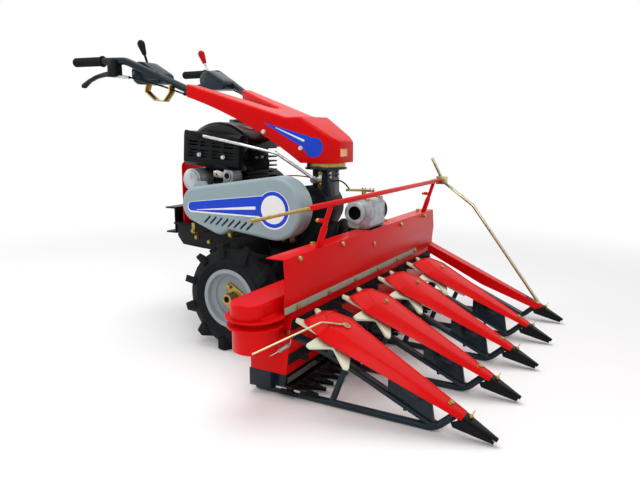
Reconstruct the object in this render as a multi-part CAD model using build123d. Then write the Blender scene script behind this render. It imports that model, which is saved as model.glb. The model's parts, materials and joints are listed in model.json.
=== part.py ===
from build123d import *
from math import atan2, cos, radians, sin
import os

# Two-wheel tractor with a crop reaper carried on its front, in millimetres.
# While it is modelled, X runs forward from the wheel axle, Y to the machine's left from its centre
# plane, and Z up from the ground. The finished pieces are moved so that the origin lies on the ground
# below the middle of the whole machine.

# Fits and clearances
SEAT_GAP = 0.3
RUNNING_CLEARANCE = 0.05
PUSH_CLEARANCE = 0.2

# Wheels
AXLE_HEIGHT = 206.0
TYRE_RADIUS = 206.0
TYRE_WIDTH = 112.0
TYRE_SHOULDER = 22.0
LUG_HEIGHT = 19.0
LUG_COUNT = 11
LUG_ROOT = 30.0
LUG_INNER_Y = -5.0
LUG_INNER_X = (-11.0, 11.0)
LUG_OUTER_X = (19.0, 47.0)
WHEEL_OFFSET = 331.0
BEAD_RADIUS = TYRE_RADIUS * 0.493
RIM_FLANGE_RADIUS = BEAD_RADIUS + 12.5
RIM_WIDTH = 92.0
RIM_WALL = 3.0
RIM_WELL_RADIUS = BEAD_RADIUS - 12.5
RIM_WELL_HALF_WIDTHS = (12.0, 23.0)
DISC_THICKNESS = 5.0
HUB_RADIUS = 21.0
HUB_BOLT_CIRCLE = 44.0
HUB_FLANGE_RADIUS = HUB_BOLT_CIRCLE + 30.0
HUB_FLANGE_CORNER = 16.0
HUB_INNER_REACH = 40.0
HUB_FLANGE_THICKNESS = 7.0
HUB_REACH = 56.0
HUB_BORE_RADIUS = 12.0
HUB_BORE_START = 12.0
SHAFT_RADIUS = 15.0

# Transmission case
CASE_HALF_WIDTH = 70.0
AXLE_LOBE_RADIUS = 78.0
TOP_LOBE_X = 172.0
TOP_LOBE_Z = 530.0
TOP_LOBE_RADIUS = 88.0
AXLE_BOSS_RADIUS = 44.0
AXLE_BOSS_END = 130.0
COUPLING_Z = 415.0
COUPLING_RADIUS = 58.0
COUPLING_END_X = 288.0

# Engine and its bed
CRANK_X = -185.0
CRANK_Z = 549.0
BED_TOP_Z = 430.0
BED_DEPTH = 52.0
BED_REAR_X = -497.0
BED_FRONT_X = 128.0
BED_WEB = 8.0
BED_FLANGE = 50.0
BED_KNEE_X = (-160.0, 40.0)
BED_FRONT_DROP = 30.0
BED_REAR_RISE = 12.0
BED_TIE_XS = (-477.0, -120.0)
BED_TIE_SIZE = (30.0, 26.0)
ENGINE_X = (-325.0, -62.0)
ENGINE_HALF_WIDTH = 130.0
CRANKCASE_TOP_Z = 612.0
CRANKCASE_ROUNDING = 18.0
CYLINDER_HALF_SIZE = (78.0, 80.0)
FIN_HALF_SIZE = (104.0, 108.0)
CRANK_BOSS_RADIUS = 40.0
FIN_COUNT = 8
FIN_PITCH = 19.0
FIN_THICKNESS = 7.0
COWL_HALF_WIDTH = 150.0
COWL_REAR_X = -375.0
COWL_CROWN = (-215.0, 868.0)
COWL_SHOULDER_Z = (785.0, 795.0)
COWL_ROUNDING = 16.0
COWL_LEFT_Y = -20.0
CLEANER_LEFT_Y = 130.0
CLEANER_X = (-248.0, -62.0)
CLEANER_FLAT_X = -190.0
CLEANER_Z = (812.0, 880.0)
CLEANER_ROUNDING = 8.0
SHIELD_X = (-345.0, -62.0)
SHIELD_Z = (686.0, 824.0)
SHIELD_Y = -205.0
SHIELD_BEND = 14.0
SHIELD_TILT = 4.0
SHIELD_SLOT_ROWS = (784.0, 771.0, 750.0, 738.0, 726.0)
SHIELD_SLOT_SIZE = (46.0, 6.0)
SHIELD_SLOT_PITCH = 60.0
SHIELD_SLOT_COUNT = 4
SHEET = 3.0
MUFFLER_X = -300.0
MUFFLER_Z = 634.0
MUFFLER_RADIUS = 45.0
MUFFLER_STEP = 7.0
MUFFLER_CAP = 8.0
MUFFLER_END_Y = -222.0
FAN_RADIUS = 118.0
FAN_DEPTH = 72.0
FAN_CHAMFER = 18.0
STARTER_RADIUS = 68.0
STARTER_DEPTH = 26.0
STARTER_SLOT = (26.0, 8.0, 6.0)
STARTER_SLOT_CIRCLE = 46.0
STARTER_SLOT_COUNT = 8
CHANNEL_DEPTH = 58.0
CHANNEL_Z = (378.0, 495.0)
CHANNEL_HALF_LENGTH = 105.0
CHANNEL_WALL = 7.0
CHANNEL_PIN_RADIUS = 12.5
REAR_GUARD_X = -456.0
REAR_GUARD_TOP_Z = 699.0
REAR_GUARD_HALF_WIDTH = 100.0
REAR_GUARD_CORNER = 24.0
REAR_GUARD_THICKNESS = 6.0

# Belt cover
BELT_OUTER_Y = -330.0
BELT_DEPTH = 88.0
BELT_WALL = 3.0
BELT_FRONT_LOBE = (176.0, 553.0, 116.0)
BELT_REAR_LOBE = (CRANK_X, CRANK_Z, 70.0)
BELT_LOW_LOBE = (-75.0, 500.0, 61.0)
BELT_ROUNDING = 14.0
BELT_SLOT_COUNT = 8
BELT_SLOT_SIZE = (44.0, 9.0)
BELT_SLOT_LEAN = 42.0
BELT_SLOT_START = (-128.0, 495.0)
BELT_SLOT_PITCH = (28.5, -2.0)
BELT_BRACKET = ((-282.0, 575.0), (-185.0, 590.0), (-205.0, 632.0), (-258.0, 634.0))
BELT_BRACKET_THICKNESS = 10.0
INPUT_BOSS_RADIUS = 46.0

# Handlebar column and swivel
SWIVEL_X = 215.0
COLUMN_HALF_LENGTH = 34.0
COLUMN_HALF_WIDTH = 50.0
TURNTABLE_TOP_Z = 690.0
TURNTABLE_RADIUS = 84.0
TURNTABLE_THICKNESS = 8.0
SWIVEL_PIN_RADIUS = 16.0
SWIVEL_PIN_LENGTH = 60.0
SWIVEL_PLATE_RADIUS = 78.0

# Handlebar hood, arms and tubes
HOOD_FLOOR_Z = 709.0
HOOD_FRONT_X = 306.0
HOOD_FRONT_TOP_Z = 792.0
HOOD_CROWN_REAR_X = 100.0
HOOD_CROWN_Z = 886.0
HOOD_SHOULDER_X = 163.0
HOOD_REAR_X = -301.0
HOOD_REAR_Z = (966.0, 1016.0)
HOOD_BELLY = (0.0, 824.0)
HOOD_HALF_WIDTHS = {"front": 86.0, "rear": 223.0}
HOOD_CORNER = 28.0
HOOD_ARM_WIDTH = 50.0
HOOD_NOTCH_X = -68.0
HOOD_NOTCH_RADIUS = 46.0
HOOD_WALL = 4.0
HOOD_SIDE_WALL = 6.0
HOOD_ROOF_WALL = 7.0
HOOD_FLOOR = 8.0
HOOD_ROUNDING = 12.0
HANDLE_RADIUS = 15.0
HANDLE_WALL = 3.0
HANDLE_BEND = 60.0
GRIP_RADIUS = 19.0
GRIP_LENGTH = 154.0

# Handle tube on the machine's left as (x, y, z) corners, and the levers on it
HANDLE_LINE = ((-236.0, 170.0, 958.0), (-553.0, 297.0, 1111.0), (-641.0, 322.0, 1112.0),
               (-806.0, 337.0, 1114.0))
CLAMP_CENTRE = (-600.0, 314.0, 1084.0)
CLAMP_SIZE = (44.0, 38.0, 72.0)
CLAMP_ROUNDING = 8.0
BLADE_CIRCLES = ((-606.0, 1062.0, 13.0), (-660.0, 1060.0, 8.0), (-705.0, 1053.0, 6.5), (-748.0, 1039.0, 6.0),
                 (-785.0, 1019.0, 9.0))
BLADE_Y = (308.0, 324.0)
GATE_CIRCLES = ((-436.0, 1044.0, 24.0), (-520.0, 1066.0, 46.0))
GATE_Y = (164.0, 256.0)
GATE_ROUNDING = 12.0
LEVER_FOOT = (-524.0, 196.0, 1085.0)
LEVER_TOP = (-574.0, 192.0, 1207.0)
LEVER_ROD_RADIUS = 5.0
KNOB_LENGTH = 64.0
KNOB_PROFILE = ((0.0, 0.0), (9.0, 0.0), (16.0, 44.0), (15.0, 54.0), (8.0, 62.0), (0.0, KNOB_LENGTH))

# Catch strap below the right handle, as (x, z) corners, and the cables from the clamps to the hood
CATCH_LINE = ((-482.0, 1030.0), (-496.0, 992.0), (-445.0, 955.0), (-396.0, 951.0), (-364.0, 984.0),
              (-362.0, 1012.0))
CATCH_HALF_THICKNESS = 3.0
CATCH_Y = (-256.0, -226.0)
CABLE_LINE = ((-530.0, 304.0, 1045.0), (-486.0, 291.0, 1037.0), (-388.0, 255.0, 1006.0),
              (-299.0, 207.0, 970.0))
CABLE_RADIUS = 3.5
CABLE_BEND = 60.0
ADJUSTER_START = (-590.0, 316.0, 1051.0)
ADJUSTER_RADIUS = 6.5

# Shift rod from the column back along the engine, as (x, y, z) corners from its grip
SHIFT_LINE = ((-314.0, -222.0, 827.0), (-40.0, -222.0, 780.0), (76.0, -150.0, 746.0), (152.0, -100.0, 684.0),
              (200.0, -68.0, 643.0))
SHIFT_RADIUS = 6.0
SHIFT_BEND = 30.0
SHIFT_GRIP_LENGTH = 92.0
SHIFT_GRIP_RADIUS = 10.0
SHIFT_BOSS_RADIUS = 15.0
SHIFT_BOSS_LENGTH = 28.0

# Reaper: dividers across the machine
HEADER_HALF_WIDTH = 632.0
DIVIDER_INSET = 32.0
DIVIDER_COUNT = 5
DIVIDER_PITCH = 2 * (HEADER_HALF_WIDTH - DIVIDER_INSET) / (DIVIDER_COUNT - 1)
COVER_AXIS_X = 611.0
COVER_AXIS_Z = 262.0
COVER_SLOPE = 27.4
COVER_LENGTH = 413.0
COVER_NOSE_HALF_WIDTH = 19.0
COVER_HEAD = ((-71.0, 24.0), (-18.0, 61.0))
COVER_DEPTHS = (36.0, 9.0)
COVER_SHEET = 2.5
TIP_LENGTH = 104.0
TIP_DEPTH = 22.0
TIP_HALF_WIDTH = 20.0
TIP_ROUNDING = 5.0
TIP_END = (14.0, 10.0)
TIP_END_DROP = 7.0
TIP_END_ROUNDING = 4.0
TONGUE_LENGTH = 74.0
TONGUE_DEPTH = 12.0
TONGUE_HALF_WIDTH = 11.0
SIDE_COVER_REAR = (452.0, 306.0)
SIDE_COVER_HALF_WIDTHS = (30.0, 20.0)
SIDE_COVER_DEPTHS = (38.0, 50.0, 24.0)

# Star wheels
STAR_RADIUS = 142.0
STAR_ROOT_RADIUS = 66.0
STAR_TEETH = 7
STAR_THICKNESS = 8.0
STAR_TIP_WIDTH = 16.0
STAR_DROP = 44.0
STAR_TIP_ROUNDING = 6.5
STAR_HUB_RADIUS = 30.0
STAR_HUB_RISE = 3.0
STAR_HUB_DEPTH = 18.0
STAR_PIN_RADIUS = 9.0
STAR_COLLAR_RADIUS = 17.0
STAR_PIN_ROOT = 112.0

# Skids, braces and arms below the dividers
SKID_DIAMETER = 22.0
SKID_REAR_X = 289.0
SKID_BEND_X = 893.0
SKID_BEND_RADIUS = 60.0
SKID_TOP = (956.0, 70.0)
BRACE_DIAMETER = 20.0
BRACE_FOOT_X = 565.0
BRACE_TOP = (616.0, 146.0)
ARM_HALF_THICKNESS = 6.0
ARM_WIDTH = 30.0
ARM_KNEE = (600.0, 152.0)
ARM_REAR_Z = 205.0
ARM_FRONT = (893.0, 20.0)
ARM_WEB_THICKNESS = 8.0
ARM_WEB_TIP_GAP = 39.0
ARM_WEB_REACH = (158.0, COVER_LENGTH - TONGUE_LENGTH - ARM_WEB_TIP_GAP)
ARM_DISC_X = 262.0
ARM_DISC_RADIUS = 40.0
ARM_DISC_DEPTHS = (20.0, 38.0)
ARM_PEG_X = 802.0
ARM_PEG_Z = (42.0, 74.0)
ARM_PEG_RADIUS = 5.0

# Frame beam, cutter bar and knife
BEAM_X = (279.0, 361.0)
BEAM_HEIGHT = 58.0
BEAM_WALL = 5.0
CUTTER_X = (401.0, 450.0)
CUTTER_Z = (24.0, 36.0)
GUARD_TIP_X = 524.0
GUARD_BASE = 34.0
GUARD_TIP = 8.0
GUARD_OFFSET_Y = -13.0
TOOTH_ROOT = 2.0
CUTTER_OVERHANG = 10.0
GUARD_PITCH = 50.0
GUARD_COUNT = int(2 * HEADER_HALF_WIDTH / GUARD_PITCH)
KNIFE_BACK_X = (424.0, 442.0)
KNIFE_TIP_X = 503.0
KNIFE_TIP = 6.0
KNIFE_GAP = 2.0
KNIFE_THICKNESS = 4.0
KNIFE_BACK_HEIGHT = 8.0
GUSSET_THICKNESS = 10.0

# Header body
BODY_TOP_Z = 290.0
BODY_FRONT_X = (420.0, 446.0)
BODY_REAR_X = 285.0
BODY_SHEET = 3.0
DECK_THICKNESS = 6.0
DECK_X = (292.0, 451.0)
DRUM_X = 371.0
DRUM_Y = -HEADER_HALF_WIDTH - 90.0
DRUM_RADIUS = 70.0
DRUM_FLANGE_RADIUS = 90.0
DRUM_LIP_RADIUS = 85.0
DRUM_NECK_RADIUS = 52.0
DRUM_WALL = 6.0
DRUM_BOTTOM_Z = 190.0
DRUM_FLANGE_Z = (262.0, 270.0)
DRUM_CAP_RADIUS = 70.0
DRUM_CAP_HEIGHT = 9.0
DRIVE_COVER_X = (312.0, 428.0)
DRIVE_COVER_HEIGHT = 48.0
DRIVE_COVER_CORNER = 56.0
DRIVE_COVER_ROUNDING = 8.0
DRIVE_COVER_Y = (DRUM_Y - 82.0, -78.0)
BELT_RUN_HEIGHTS = (132.0, 246.0)
BELT_BAND = 34.0
BELT_THICKNESS = 5.0
FINGER_PITCH = 100.0
FINGER_REACH = 42.0
FINGER_HEIGHT = 22.0
FINGER_THICKNESS = 7.0

# Board, strip and guide bar
BOARD_X = 451.0
BOARD_Y = (-HEADER_HALF_WIDTH - 55.0, HEADER_HALF_WIDTH + 2.0)
BOARD_TOP_Z = 462.0
BOARD_CREASE = (6.0, 382.0)
BOARD_FLANGE_X = 388.0
STRIP_THICKNESS = 6.0
STRIP_TOP_Z = 316.0
STRIP_END_Y = HEADER_HALF_WIDTH - 232.0
POST_YS = (-HEADER_HALF_WIDTH + 172.0, HEADER_HALF_WIDTH - 102.0)
POST_RADIUS = 11.0
POST_INNER_RADIUS = 8.0
POST_SLEEVE_LENGTH = 78.0
BAR_X = 486.0
BAR_Z = 605.0
BAR_RADIUS = 9.0
BAR_Y = (-HEADER_HALF_WIDTH + 30.0, HEADER_HALF_WIDTH - 20.0)
BAR_ROD_RADIUS = 5.0
BAR_ROD_END_Y = -HEADER_HALF_WIDTH - 260.0
POST_FOOT = (BOARD_X - 14.0, BOARD_TOP_Z - 10.0)

# Loose crop rods: one from the bar's left end down to the left divider, one out from the right divider
CROP_ROD_RADIUS = 5.0
CROP_ROD_BEND = 40.0
CROP_ROD_Y = BAR_Y[1] + 10.5
CROP_ROD_LINE = ((443.0, 705.0), (500.0, 598.0), (645.0, 494.0))
CROP_ROD_FOOT_SETBACK = 20.0
CROP_CLIP = ((470.0, 520.0), (588.0, 622.0))
CROP_CLIP_THICKNESS = 6.0
CROP_EYE_RADIUS = 12.0
CROP_EYE_THICKNESS = 5.0
CROP_WIRE_RADIUS = 3.0
CROP_WIRE_BEND = 26.0
CROP_WIRE_TURN = (-49.0, -73.0)
CROP_WIRE_END = (450.0, -HEADER_HALF_WIDTH - 218.0, 228.0)

# Neck and gearbox on the header
NECK_X = (288.0, 447.0)
NECK_HALF_WIDTH = 72.0
NECK_TOP_Z = 463.0
NECK_TAPER = 12.0
NECK_PIPE_RADIUS = 38.0
NECK_PIPE_DROP = 10.0
NECK_FLANGE_RADIUS = 72.0
NECK_FLANGE_THICKNESS = 14.0
GEARBOX_X = (346.0, 446.0)
GEARBOX_HALF_WIDTH = 84.0
GEARBOX_TOP_Z = 572.0
GEARBOX_ROUNDING = 20.0
PORT_X = 384.0
PORT_Z = 524.0
PORT_RADIUS = 42.0
PORT_BORE_RADIUS = 26.0
PORT_DEPTH = 40.0
PORT_LENGTH = 18.0
RUBBER_DISC_RADIUS = 50.0
RUBBER_DISC_WIDTH = 24.0
RUBBER_DISC_X = PORT_X + 14.0


def block(x_span, y_span, z_span):
    """A box between two limits along each axis."""
    size = [high - low for low, high in (x_span, y_span, z_span)]
    middle = [(high + low) / 2 for low, high in (x_span, y_span, z_span)]
    return Pos(*middle) * Box(*size)


def outline(points):
    """A flat face in the XY plane from its corner points."""
    return make_face(Polyline(*points, close=True))


def round_hull(circles):
    """A flat face stretched round circles given as (x, y, radius)."""
    rings = [Pos(x, y) * Circle(radius) for x, y, radius in circles]
    return make_hull(ShapeList(edge for ring in rings for edge in ring.edges()))


def across(face, y_span):
    """Extrude a face drawn in X and Z along Y, between two Y limits."""
    low, high = y_span
    return Pos(0, low, 0) * extrude(Plane.XZ * face, high - low, dir=(0, 1, 0))


def cylinder_y(x, z, radius, y_span):
    """A cylinder along Y between two limits."""
    return across(Pos(x, z) * Circle(radius), y_span)


def cylinder_z(x, y, radius, z_span):
    """A cylinder along Z between two limits."""
    low, high = z_span
    return Pos(x, y, low) * extrude(Circle(radius), high - low)


def cylinder_x(y, z, radius, x_span):
    """A cylinder along X between two limits."""
    low, high = x_span
    return Pos(low, y, z) * extrude(Plane.YZ * Circle(radius), high - low)


def bent_rod(points, radius, bend=0.0, wall=0.0):
    """A round bar or tube along points, its corners bent to one radius."""
    path = FilletPolyline(*points, radius=bend) if len(points) > 2 else Line(*points)
    section = Circle(radius) - Circle(radius - wall) if wall else Circle(radius)
    start = Plane(origin=path @ 0, z_dir=path % 0)
    return sweep(start * section, path=path)


def folded_sheet(points, thickness):
    """The outline of a sheet folded along points, its thickness to the left of the line."""
    inner = []
    for index, (x, z) in enumerate(points):
        before = points[max(index - 1, 0)]
        after = points[min(index + 1, len(points) - 1)]
        first = atan2(z - before[1], x - before[0]) if index else None
        second = atan2(after[1] - z, after[0] - x) if index < len(points) - 1 else None
        first = second if first is None else first
        second = first if second is None else second
        middle = (first + second) / 2
        reach = thickness / cos((second - first) / 2)
        inner.append((x - reach * sin(middle), z + reach * cos(middle)))
    return outline(list(points) + inner[::-1])


def divider_positions():
    """Y of each divider, from the machine's right to its left."""
    middle = (DIVIDER_COUNT - 1) / 2
    return [(index - middle) * DIVIDER_PITCH for index in range(DIVIDER_COUNT)]


def star_positions():
    """Y of each divider that carries a star wheel: all but the leftmost."""
    return divider_positions()[:-1]


def cover_plane(y, drop=0.0):
    """The sloping plane of a divider's cover: x forward along it, z square out of its top."""
    slope = radians(COVER_SLOPE)
    origin = (COVER_AXIS_X - drop * sin(slope), y, COVER_AXIS_Z - drop * cos(slope))
    return Plane(origin=origin, x_dir=(cos(slope), 0, -sin(slope)), z_dir=(sin(slope), 0, cos(slope)))


def cover_nose():
    """X and Z where the covers end and the tips begin."""
    slope = radians(COVER_SLOPE)
    return COVER_AXIS_X + COVER_LENGTH * cos(slope), COVER_AXIS_Z - COVER_LENGTH * sin(slope)


def tyre_carcass_radius():
    return TYRE_RADIUS - LUG_HEIGHT


def tyre():
    """Lug tyre about the Y axis: a turned carcass with slanted bars in two staggered rows."""
    bead = BEAD_RADIUS + SEAT_GAP
    seat = RIM_WIDTH / 2 - RIM_WALL - SEAT_GAP
    crown = tyre_carcass_radius()
    half = TYRE_WIDTH / 2
    flange = RIM_FLANGE_RADIUS + SEAT_GAP
    side = [(seat, bead), (seat, flange), (half, (bead + crown) / 2), (half - TYRE_SHOULDER, crown)]
    section = side + [(-y, r) for y, r in side[::-1]]
    carcass = revolve(Plane.YZ * outline(section), Axis.Y)
    bar = outline([(LUG_INNER_X[0], LUG_INNER_Y), (LUG_INNER_X[1], LUG_INNER_Y), (LUG_OUTER_X[1], half),
                   (LUG_OUTER_X[0], half)])
    lug = Pos(0, 0, crown - LUG_ROOT) * extrude(bar, LUG_HEIGHT + LUG_ROOT)
    lug = lug & cylinder_y(0, 0, TYRE_RADIUS, (-half, half))
    pitch = 360 / LUG_COUNT
    left_row = [Rot(0, index * pitch, 0) * lug for index in range(LUG_COUNT)]
    mirrored = mirror(lug, Plane.XZ)
    right_row = [Rot(0, (index + 0.5) * pitch, 0) * mirrored for index in range(LUG_COUNT)]
    return carcass + left_row + right_row


def rim():
    """Pressed rim about the Y axis, its disc in the middle of the wheel."""
    half = RIM_WIDTH / 2
    lip = half - RIM_WALL
    inner = BEAD_RADIUS - RIM_WALL
    well = RIM_WELL_RADIUS
    disc = DISC_THICKNESS / 2
    well_half, ramp_half = RIM_WELL_HALF_WIDTHS
    outer_side = [(half, RIM_FLANGE_RADIUS), (lip, RIM_FLANGE_RADIUS), (lip, BEAD_RADIUS),
                  (ramp_half, BEAD_RADIUS), (well_half, well)]
    outer_side += [(-y, r) for y, r in outer_side[::-1]]
    barrel = [(-half, inner), (-ramp_half, inner), (-well_half, well - RIM_WALL), (-disc, well - RIM_WALL)]
    hole = HUB_RADIUS + PUSH_CLEARANCE
    section = outer_side + barrel + [(-disc, hole), (disc, hole)] + [(-y, r) for y, r in barrel[::-1]]
    return revolve(Plane.YZ * outline(section), Axis.Y)


def hub(side):
    """Flanged hub tube with the half shaft that drives it, on the wheel's own centre."""
    flange = fillet(RegularPolygon(HUB_FLANGE_RADIUS, 3).vertices(), HUB_FLANGE_CORNER)
    plate_y = DISC_THICKNESS / 2
    outer = [plate_y, plate_y + HUB_FLANGE_THICKNESS]
    plate = across(flange, sorted(side * y for y in outer))
    tube = cylinder_y(0, 0, HUB_RADIUS, sorted((-side * HUB_INNER_REACH, side * HUB_REACH)))
    bore = cylinder_y(0, 0, HUB_BORE_RADIUS, sorted((side * HUB_BORE_START, side * (HUB_REACH + 1))))
    inner_end = CASE_HALF_WIDTH - HUB_INNER_REACH - WHEEL_OFFSET
    shaft = cylinder_y(0, 0, SHAFT_RADIUS, sorted((side * inner_end, 0)))
    return plate + tube + shaft - bore


def wheel_pieces(side, word):
    """Tyre, rim and hub of one wheel, moved to the axle's end."""
    place = Pos(0, side * WHEEL_OFFSET, AXLE_HEIGHT)
    return {
        f"tyre_{word}": place * tyre(),
        f"rim_{word}": place * rim(),
        f"hub_{word}": place * hub(side),
    }


def transmission_case():
    """Cast case from the axle up to the input pulley, with axle bosses and the front coupling."""
    profile = round_hull([(0, AXLE_HEIGHT, AXLE_LOBE_RADIUS), (TOP_LOBE_X, TOP_LOBE_Z, TOP_LOBE_RADIUS)])
    case = across(profile, (-CASE_HALF_WIDTH, CASE_HALF_WIDTH))
    bosses = cylinder_y(0, AXLE_HEIGHT, AXLE_BOSS_RADIUS, (-AXLE_BOSS_END, AXLE_BOSS_END))
    coupling = cylinder_x(0, COUPLING_Z, COUPLING_RADIUS, (TOP_LOBE_X, COUPLING_END_X))
    input_x, input_z, _ = BELT_FRONT_LOBE
    input_boss = cylinder_y(input_x, input_z, INPUT_BOSS_RADIUS, (BELT_OUTER_Y + BELT_DEPTH, 0))
    shaft_bore = cylinder_y(0, AXLE_HEIGHT, SHAFT_RADIUS + RUNNING_CLEARANCE, (-AXLE_BOSS_END, AXLE_BOSS_END))
    return case + bosses + coupling + input_boss - shaft_bore


def engine_bed():
    """Two angle rails from the transmission case back under the engine, tied by cross bars."""
    web_y = (CASE_HALF_WIDTH, CASE_HALF_WIDTH + BED_WEB)
    flange_y = (CASE_HALF_WIDTH, CASE_HALF_WIDTH + BED_FLANGE)
    low = BED_TOP_Z - BED_DEPTH
    deep = low - BED_FRONT_DROP
    web = outline([(BED_REAR_X, BED_TOP_Z), (BED_FRONT_X, BED_TOP_Z), (BED_FRONT_X, deep),
                   (BED_KNEE_X[1], deep), (BED_KNEE_X[0], low), (BED_REAR_X, low + BED_REAR_RISE)])
    flange_low = BED_TOP_Z - BED_WEB
    rail = across(web, web_y) + block((BED_REAR_X, ENGINE_X[1]), flange_y, (flange_low, BED_TOP_Z))
    rails = rail + mirror(rail, Plane.XZ)
    length, height = BED_TIE_SIZE
    for x in BED_TIE_XS:
        rails += block((x, x + length), (-web_y[1], web_y[1]), (flange_low - height, flange_low))
    return rails


def engine_block():
    """Crankcase with a finned cylinder on it and the crankshaft's drive end."""
    body = block(ENGINE_X, (-ENGINE_HALF_WIDTH, ENGINE_HALF_WIDTH), (BED_TOP_Z, CRANKCASE_TOP_Z))
    body = fillet(body.edges().filter_by(Axis.Y), CRANKCASE_ROUNDING)
    middle = sum(ENGINE_X) / 2

    def plate(half_size, z_span):
        half_x, half_y = half_size
        return block((middle - half_x, middle + half_x), (-half_y, half_y), z_span)

    cylinder = plate(CYLINDER_HALF_SIZE, (CRANKCASE_TOP_Z, CRANKCASE_TOP_Z + FIN_COUNT * FIN_PITCH))
    for index in range(FIN_COUNT):
        base = CRANKCASE_TOP_Z + (index + 1) * FIN_PITCH - FIN_THICKNESS
        cylinder += plate(FIN_HALF_SIZE, (base, base + FIN_THICKNESS))
    drive_end = cylinder_y(CRANK_X, CRANK_Z, CRANK_BOSS_RADIUS, (BELT_OUTER_Y + BELT_DEPTH, 0))
    return body + cylinder + drive_end


def engine_cowl():
    """Domed tank over the cylinder head with the air cleaner box on its left, below the hood's swing."""
    base = CRANKCASE_TOP_Z + FIN_COUNT * FIN_PITCH
    front = ENGINE_X[1]
    rear_z, front_z = COWL_SHOULDER_Z
    crown = ThreePointArc((COWL_REAR_X, rear_z), COWL_CROWN, (front, front_z))
    sides = Polyline((front, front_z), (front, base), (COWL_REAR_X, base), (COWL_REAR_X, rear_z))
    dome = across(make_face(crown.edges() + sides.edges()), (-COWL_HALF_WIDTH, COWL_LEFT_Y))
    outer_edge = dome.faces().sort_by(Axis.Y)[0].edges().filter_by(GeomType.CIRCLE)
    dome = fillet(outer_edge, COWL_ROUNDING)
    low, high = CLEANER_Z
    rear, nose = CLEANER_X
    side = outline([(rear, base), (rear, high), (CLEANER_FLAT_X, high), (nose, low), (nose, base)])
    cleaner = across(side, (COWL_LEFT_Y, CLEANER_LEFT_Y))
    cleaner = fillet(cleaner.faces().sort_by(Axis.Y)[-1].edges(), CLEANER_ROUNDING)
    return dome + cleaner


def muffler_shield():
    """Box guard beside the cylinder, open to the cowl, with rows of plain louvre slots."""
    def section(inset):
        right, high, low = SHIELD_Y + inset, SHIELD_Z[1] - inset, SHIELD_Z[0] + inset
        bend = SHIELD_BEND
        return outline([(-COWL_HALF_WIDTH, high), (right + bend, high), (right, high - bend),
                        (right, low + bend), (right + bend, low), (-COWL_HALF_WIDTH, low)])

    length = SHIELD_X[1] - SHIELD_X[0]
    shield = Pos(SHIELD_X[0], 0, 0) * extrude(Plane.YZ * section(0), length)
    shield -= Pos(SHIELD_X[0] + SHEET, 0, 0) * extrude(Plane.YZ * section(SHEET), length - 2 * SHEET)
    middle = sum(SHIELD_X) / 2
    slots = []
    for z in SHIELD_SLOT_ROWS:
        for index in range(SHIELD_SLOT_COUNT):
            x = middle + (index - (SHIELD_SLOT_COUNT - 1) / 2) * SHIELD_SLOT_PITCH
            slots.append(Pos(x, z) * Rectangle(*SHIELD_SLOT_SIZE))
    shield -= across(Sketch() + slots, (SHIELD_Y - SHEET, SHIELD_Y + 2 * SHEET))
    centre = (middle, 0, sum(SHIELD_Z) / 2)
    return Pos(*centre) * Rot(0, SHIELD_TILT, 0) * Pos(*(-value for value in centre)) * shield


def muffler():
    """Round silencer can with a stepped end, on the crankcase's right side."""
    step_y = MUFFLER_END_Y + MUFFLER_CAP
    can = cylinder_y(MUFFLER_X, MUFFLER_Z, MUFFLER_RADIUS, (step_y, -FIN_HALF_SIZE[1]))
    cap = cylinder_y(MUFFLER_X, MUFFLER_Z, MUFFLER_RADIUS - MUFFLER_STEP, (MUFFLER_END_Y, step_y))
    return can + cap - engine_block()


def fan_housing():
    """Cooling fan housing and pull starter with a ring of air slots on the crankshaft's left end."""
    drum = cylinder_y(CRANK_X, CRANK_Z, FAN_RADIUS, (ENGINE_HALF_WIDTH, ENGINE_HALF_WIDTH + FAN_DEPTH))
    drum = chamfer(drum.faces().sort_by(Axis.Y)[-1].edges(), FAN_CHAMFER)
    end = ENGINE_HALF_WIDTH + FAN_DEPTH
    starter = cylinder_y(CRANK_X, CRANK_Z, STARTER_RADIUS, (end, end + STARTER_DEPTH))
    length, width, depth = STARTER_SLOT
    slots = PolarLocations(STARTER_SLOT_CIRCLE, STARTER_SLOT_COUNT) * Rectangle(length, width)
    air = Pos(CRANK_X, CRANK_Z) * (Sketch() + slots)
    return drum + starter - across(air, (end + STARTER_DEPTH - depth, end + STARTER_DEPTH + 1))


def rear_channel():
    """Hitch channel across the back of the bed, open to the rear, with a pin hole in both flanges."""
    web_x = (BED_REAR_X - CHANNEL_WALL, BED_REAR_X)
    span = (-CHANNEL_HALF_LENGTH, CHANNEL_HALF_LENGTH)
    channel = block(web_x, span, CHANNEL_Z)
    for z in (CHANNEL_Z[0], CHANNEL_Z[1] - CHANNEL_WALL):
        channel += block((web_x[1] - CHANNEL_DEPTH, web_x[0]), span, (z, z + CHANNEL_WALL))
    hole_x = BED_REAR_X - CHANNEL_DEPTH / 2 - CHANNEL_WALL / 2
    return channel - cylinder_z(hole_x, 0, CHANNEL_PIN_RADIUS, (CHANNEL_Z[0] - 1, CHANNEL_Z[1] + 1))


def rear_guard():
    """Painted guard plate behind the engine, standing on the bed rails."""
    face = Rectangle(2 * REAR_GUARD_HALF_WIDTH, REAR_GUARD_TOP_Z - BED_TOP_Z)
    face = fillet(face.vertices().group_by(Axis.Y)[-1], REAR_GUARD_CORNER)
    middle = (REAR_GUARD_TOP_Z + BED_TOP_Z) / 2
    return Pos(REAR_GUARD_X, 0, middle) * extrude(Plane.YZ * face, REAR_GUARD_THICKNESS)


def belt_outline(inset=0.0):
    """Side outline of the belt cover: two pulley lobes joined by tangents, with a low bulge between."""
    lobes = {"front": BELT_FRONT_LOBE, "rear": BELT_REAR_LOBE, "low": BELT_LOW_LOBE}
    lobes = {name: (x, z, radius - inset) for name, (x, z, radius) in lobes.items()}
    return round_hull([lobes["front"], lobes["rear"]]) + round_hull([lobes["rear"], lobes["low"]])


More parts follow.
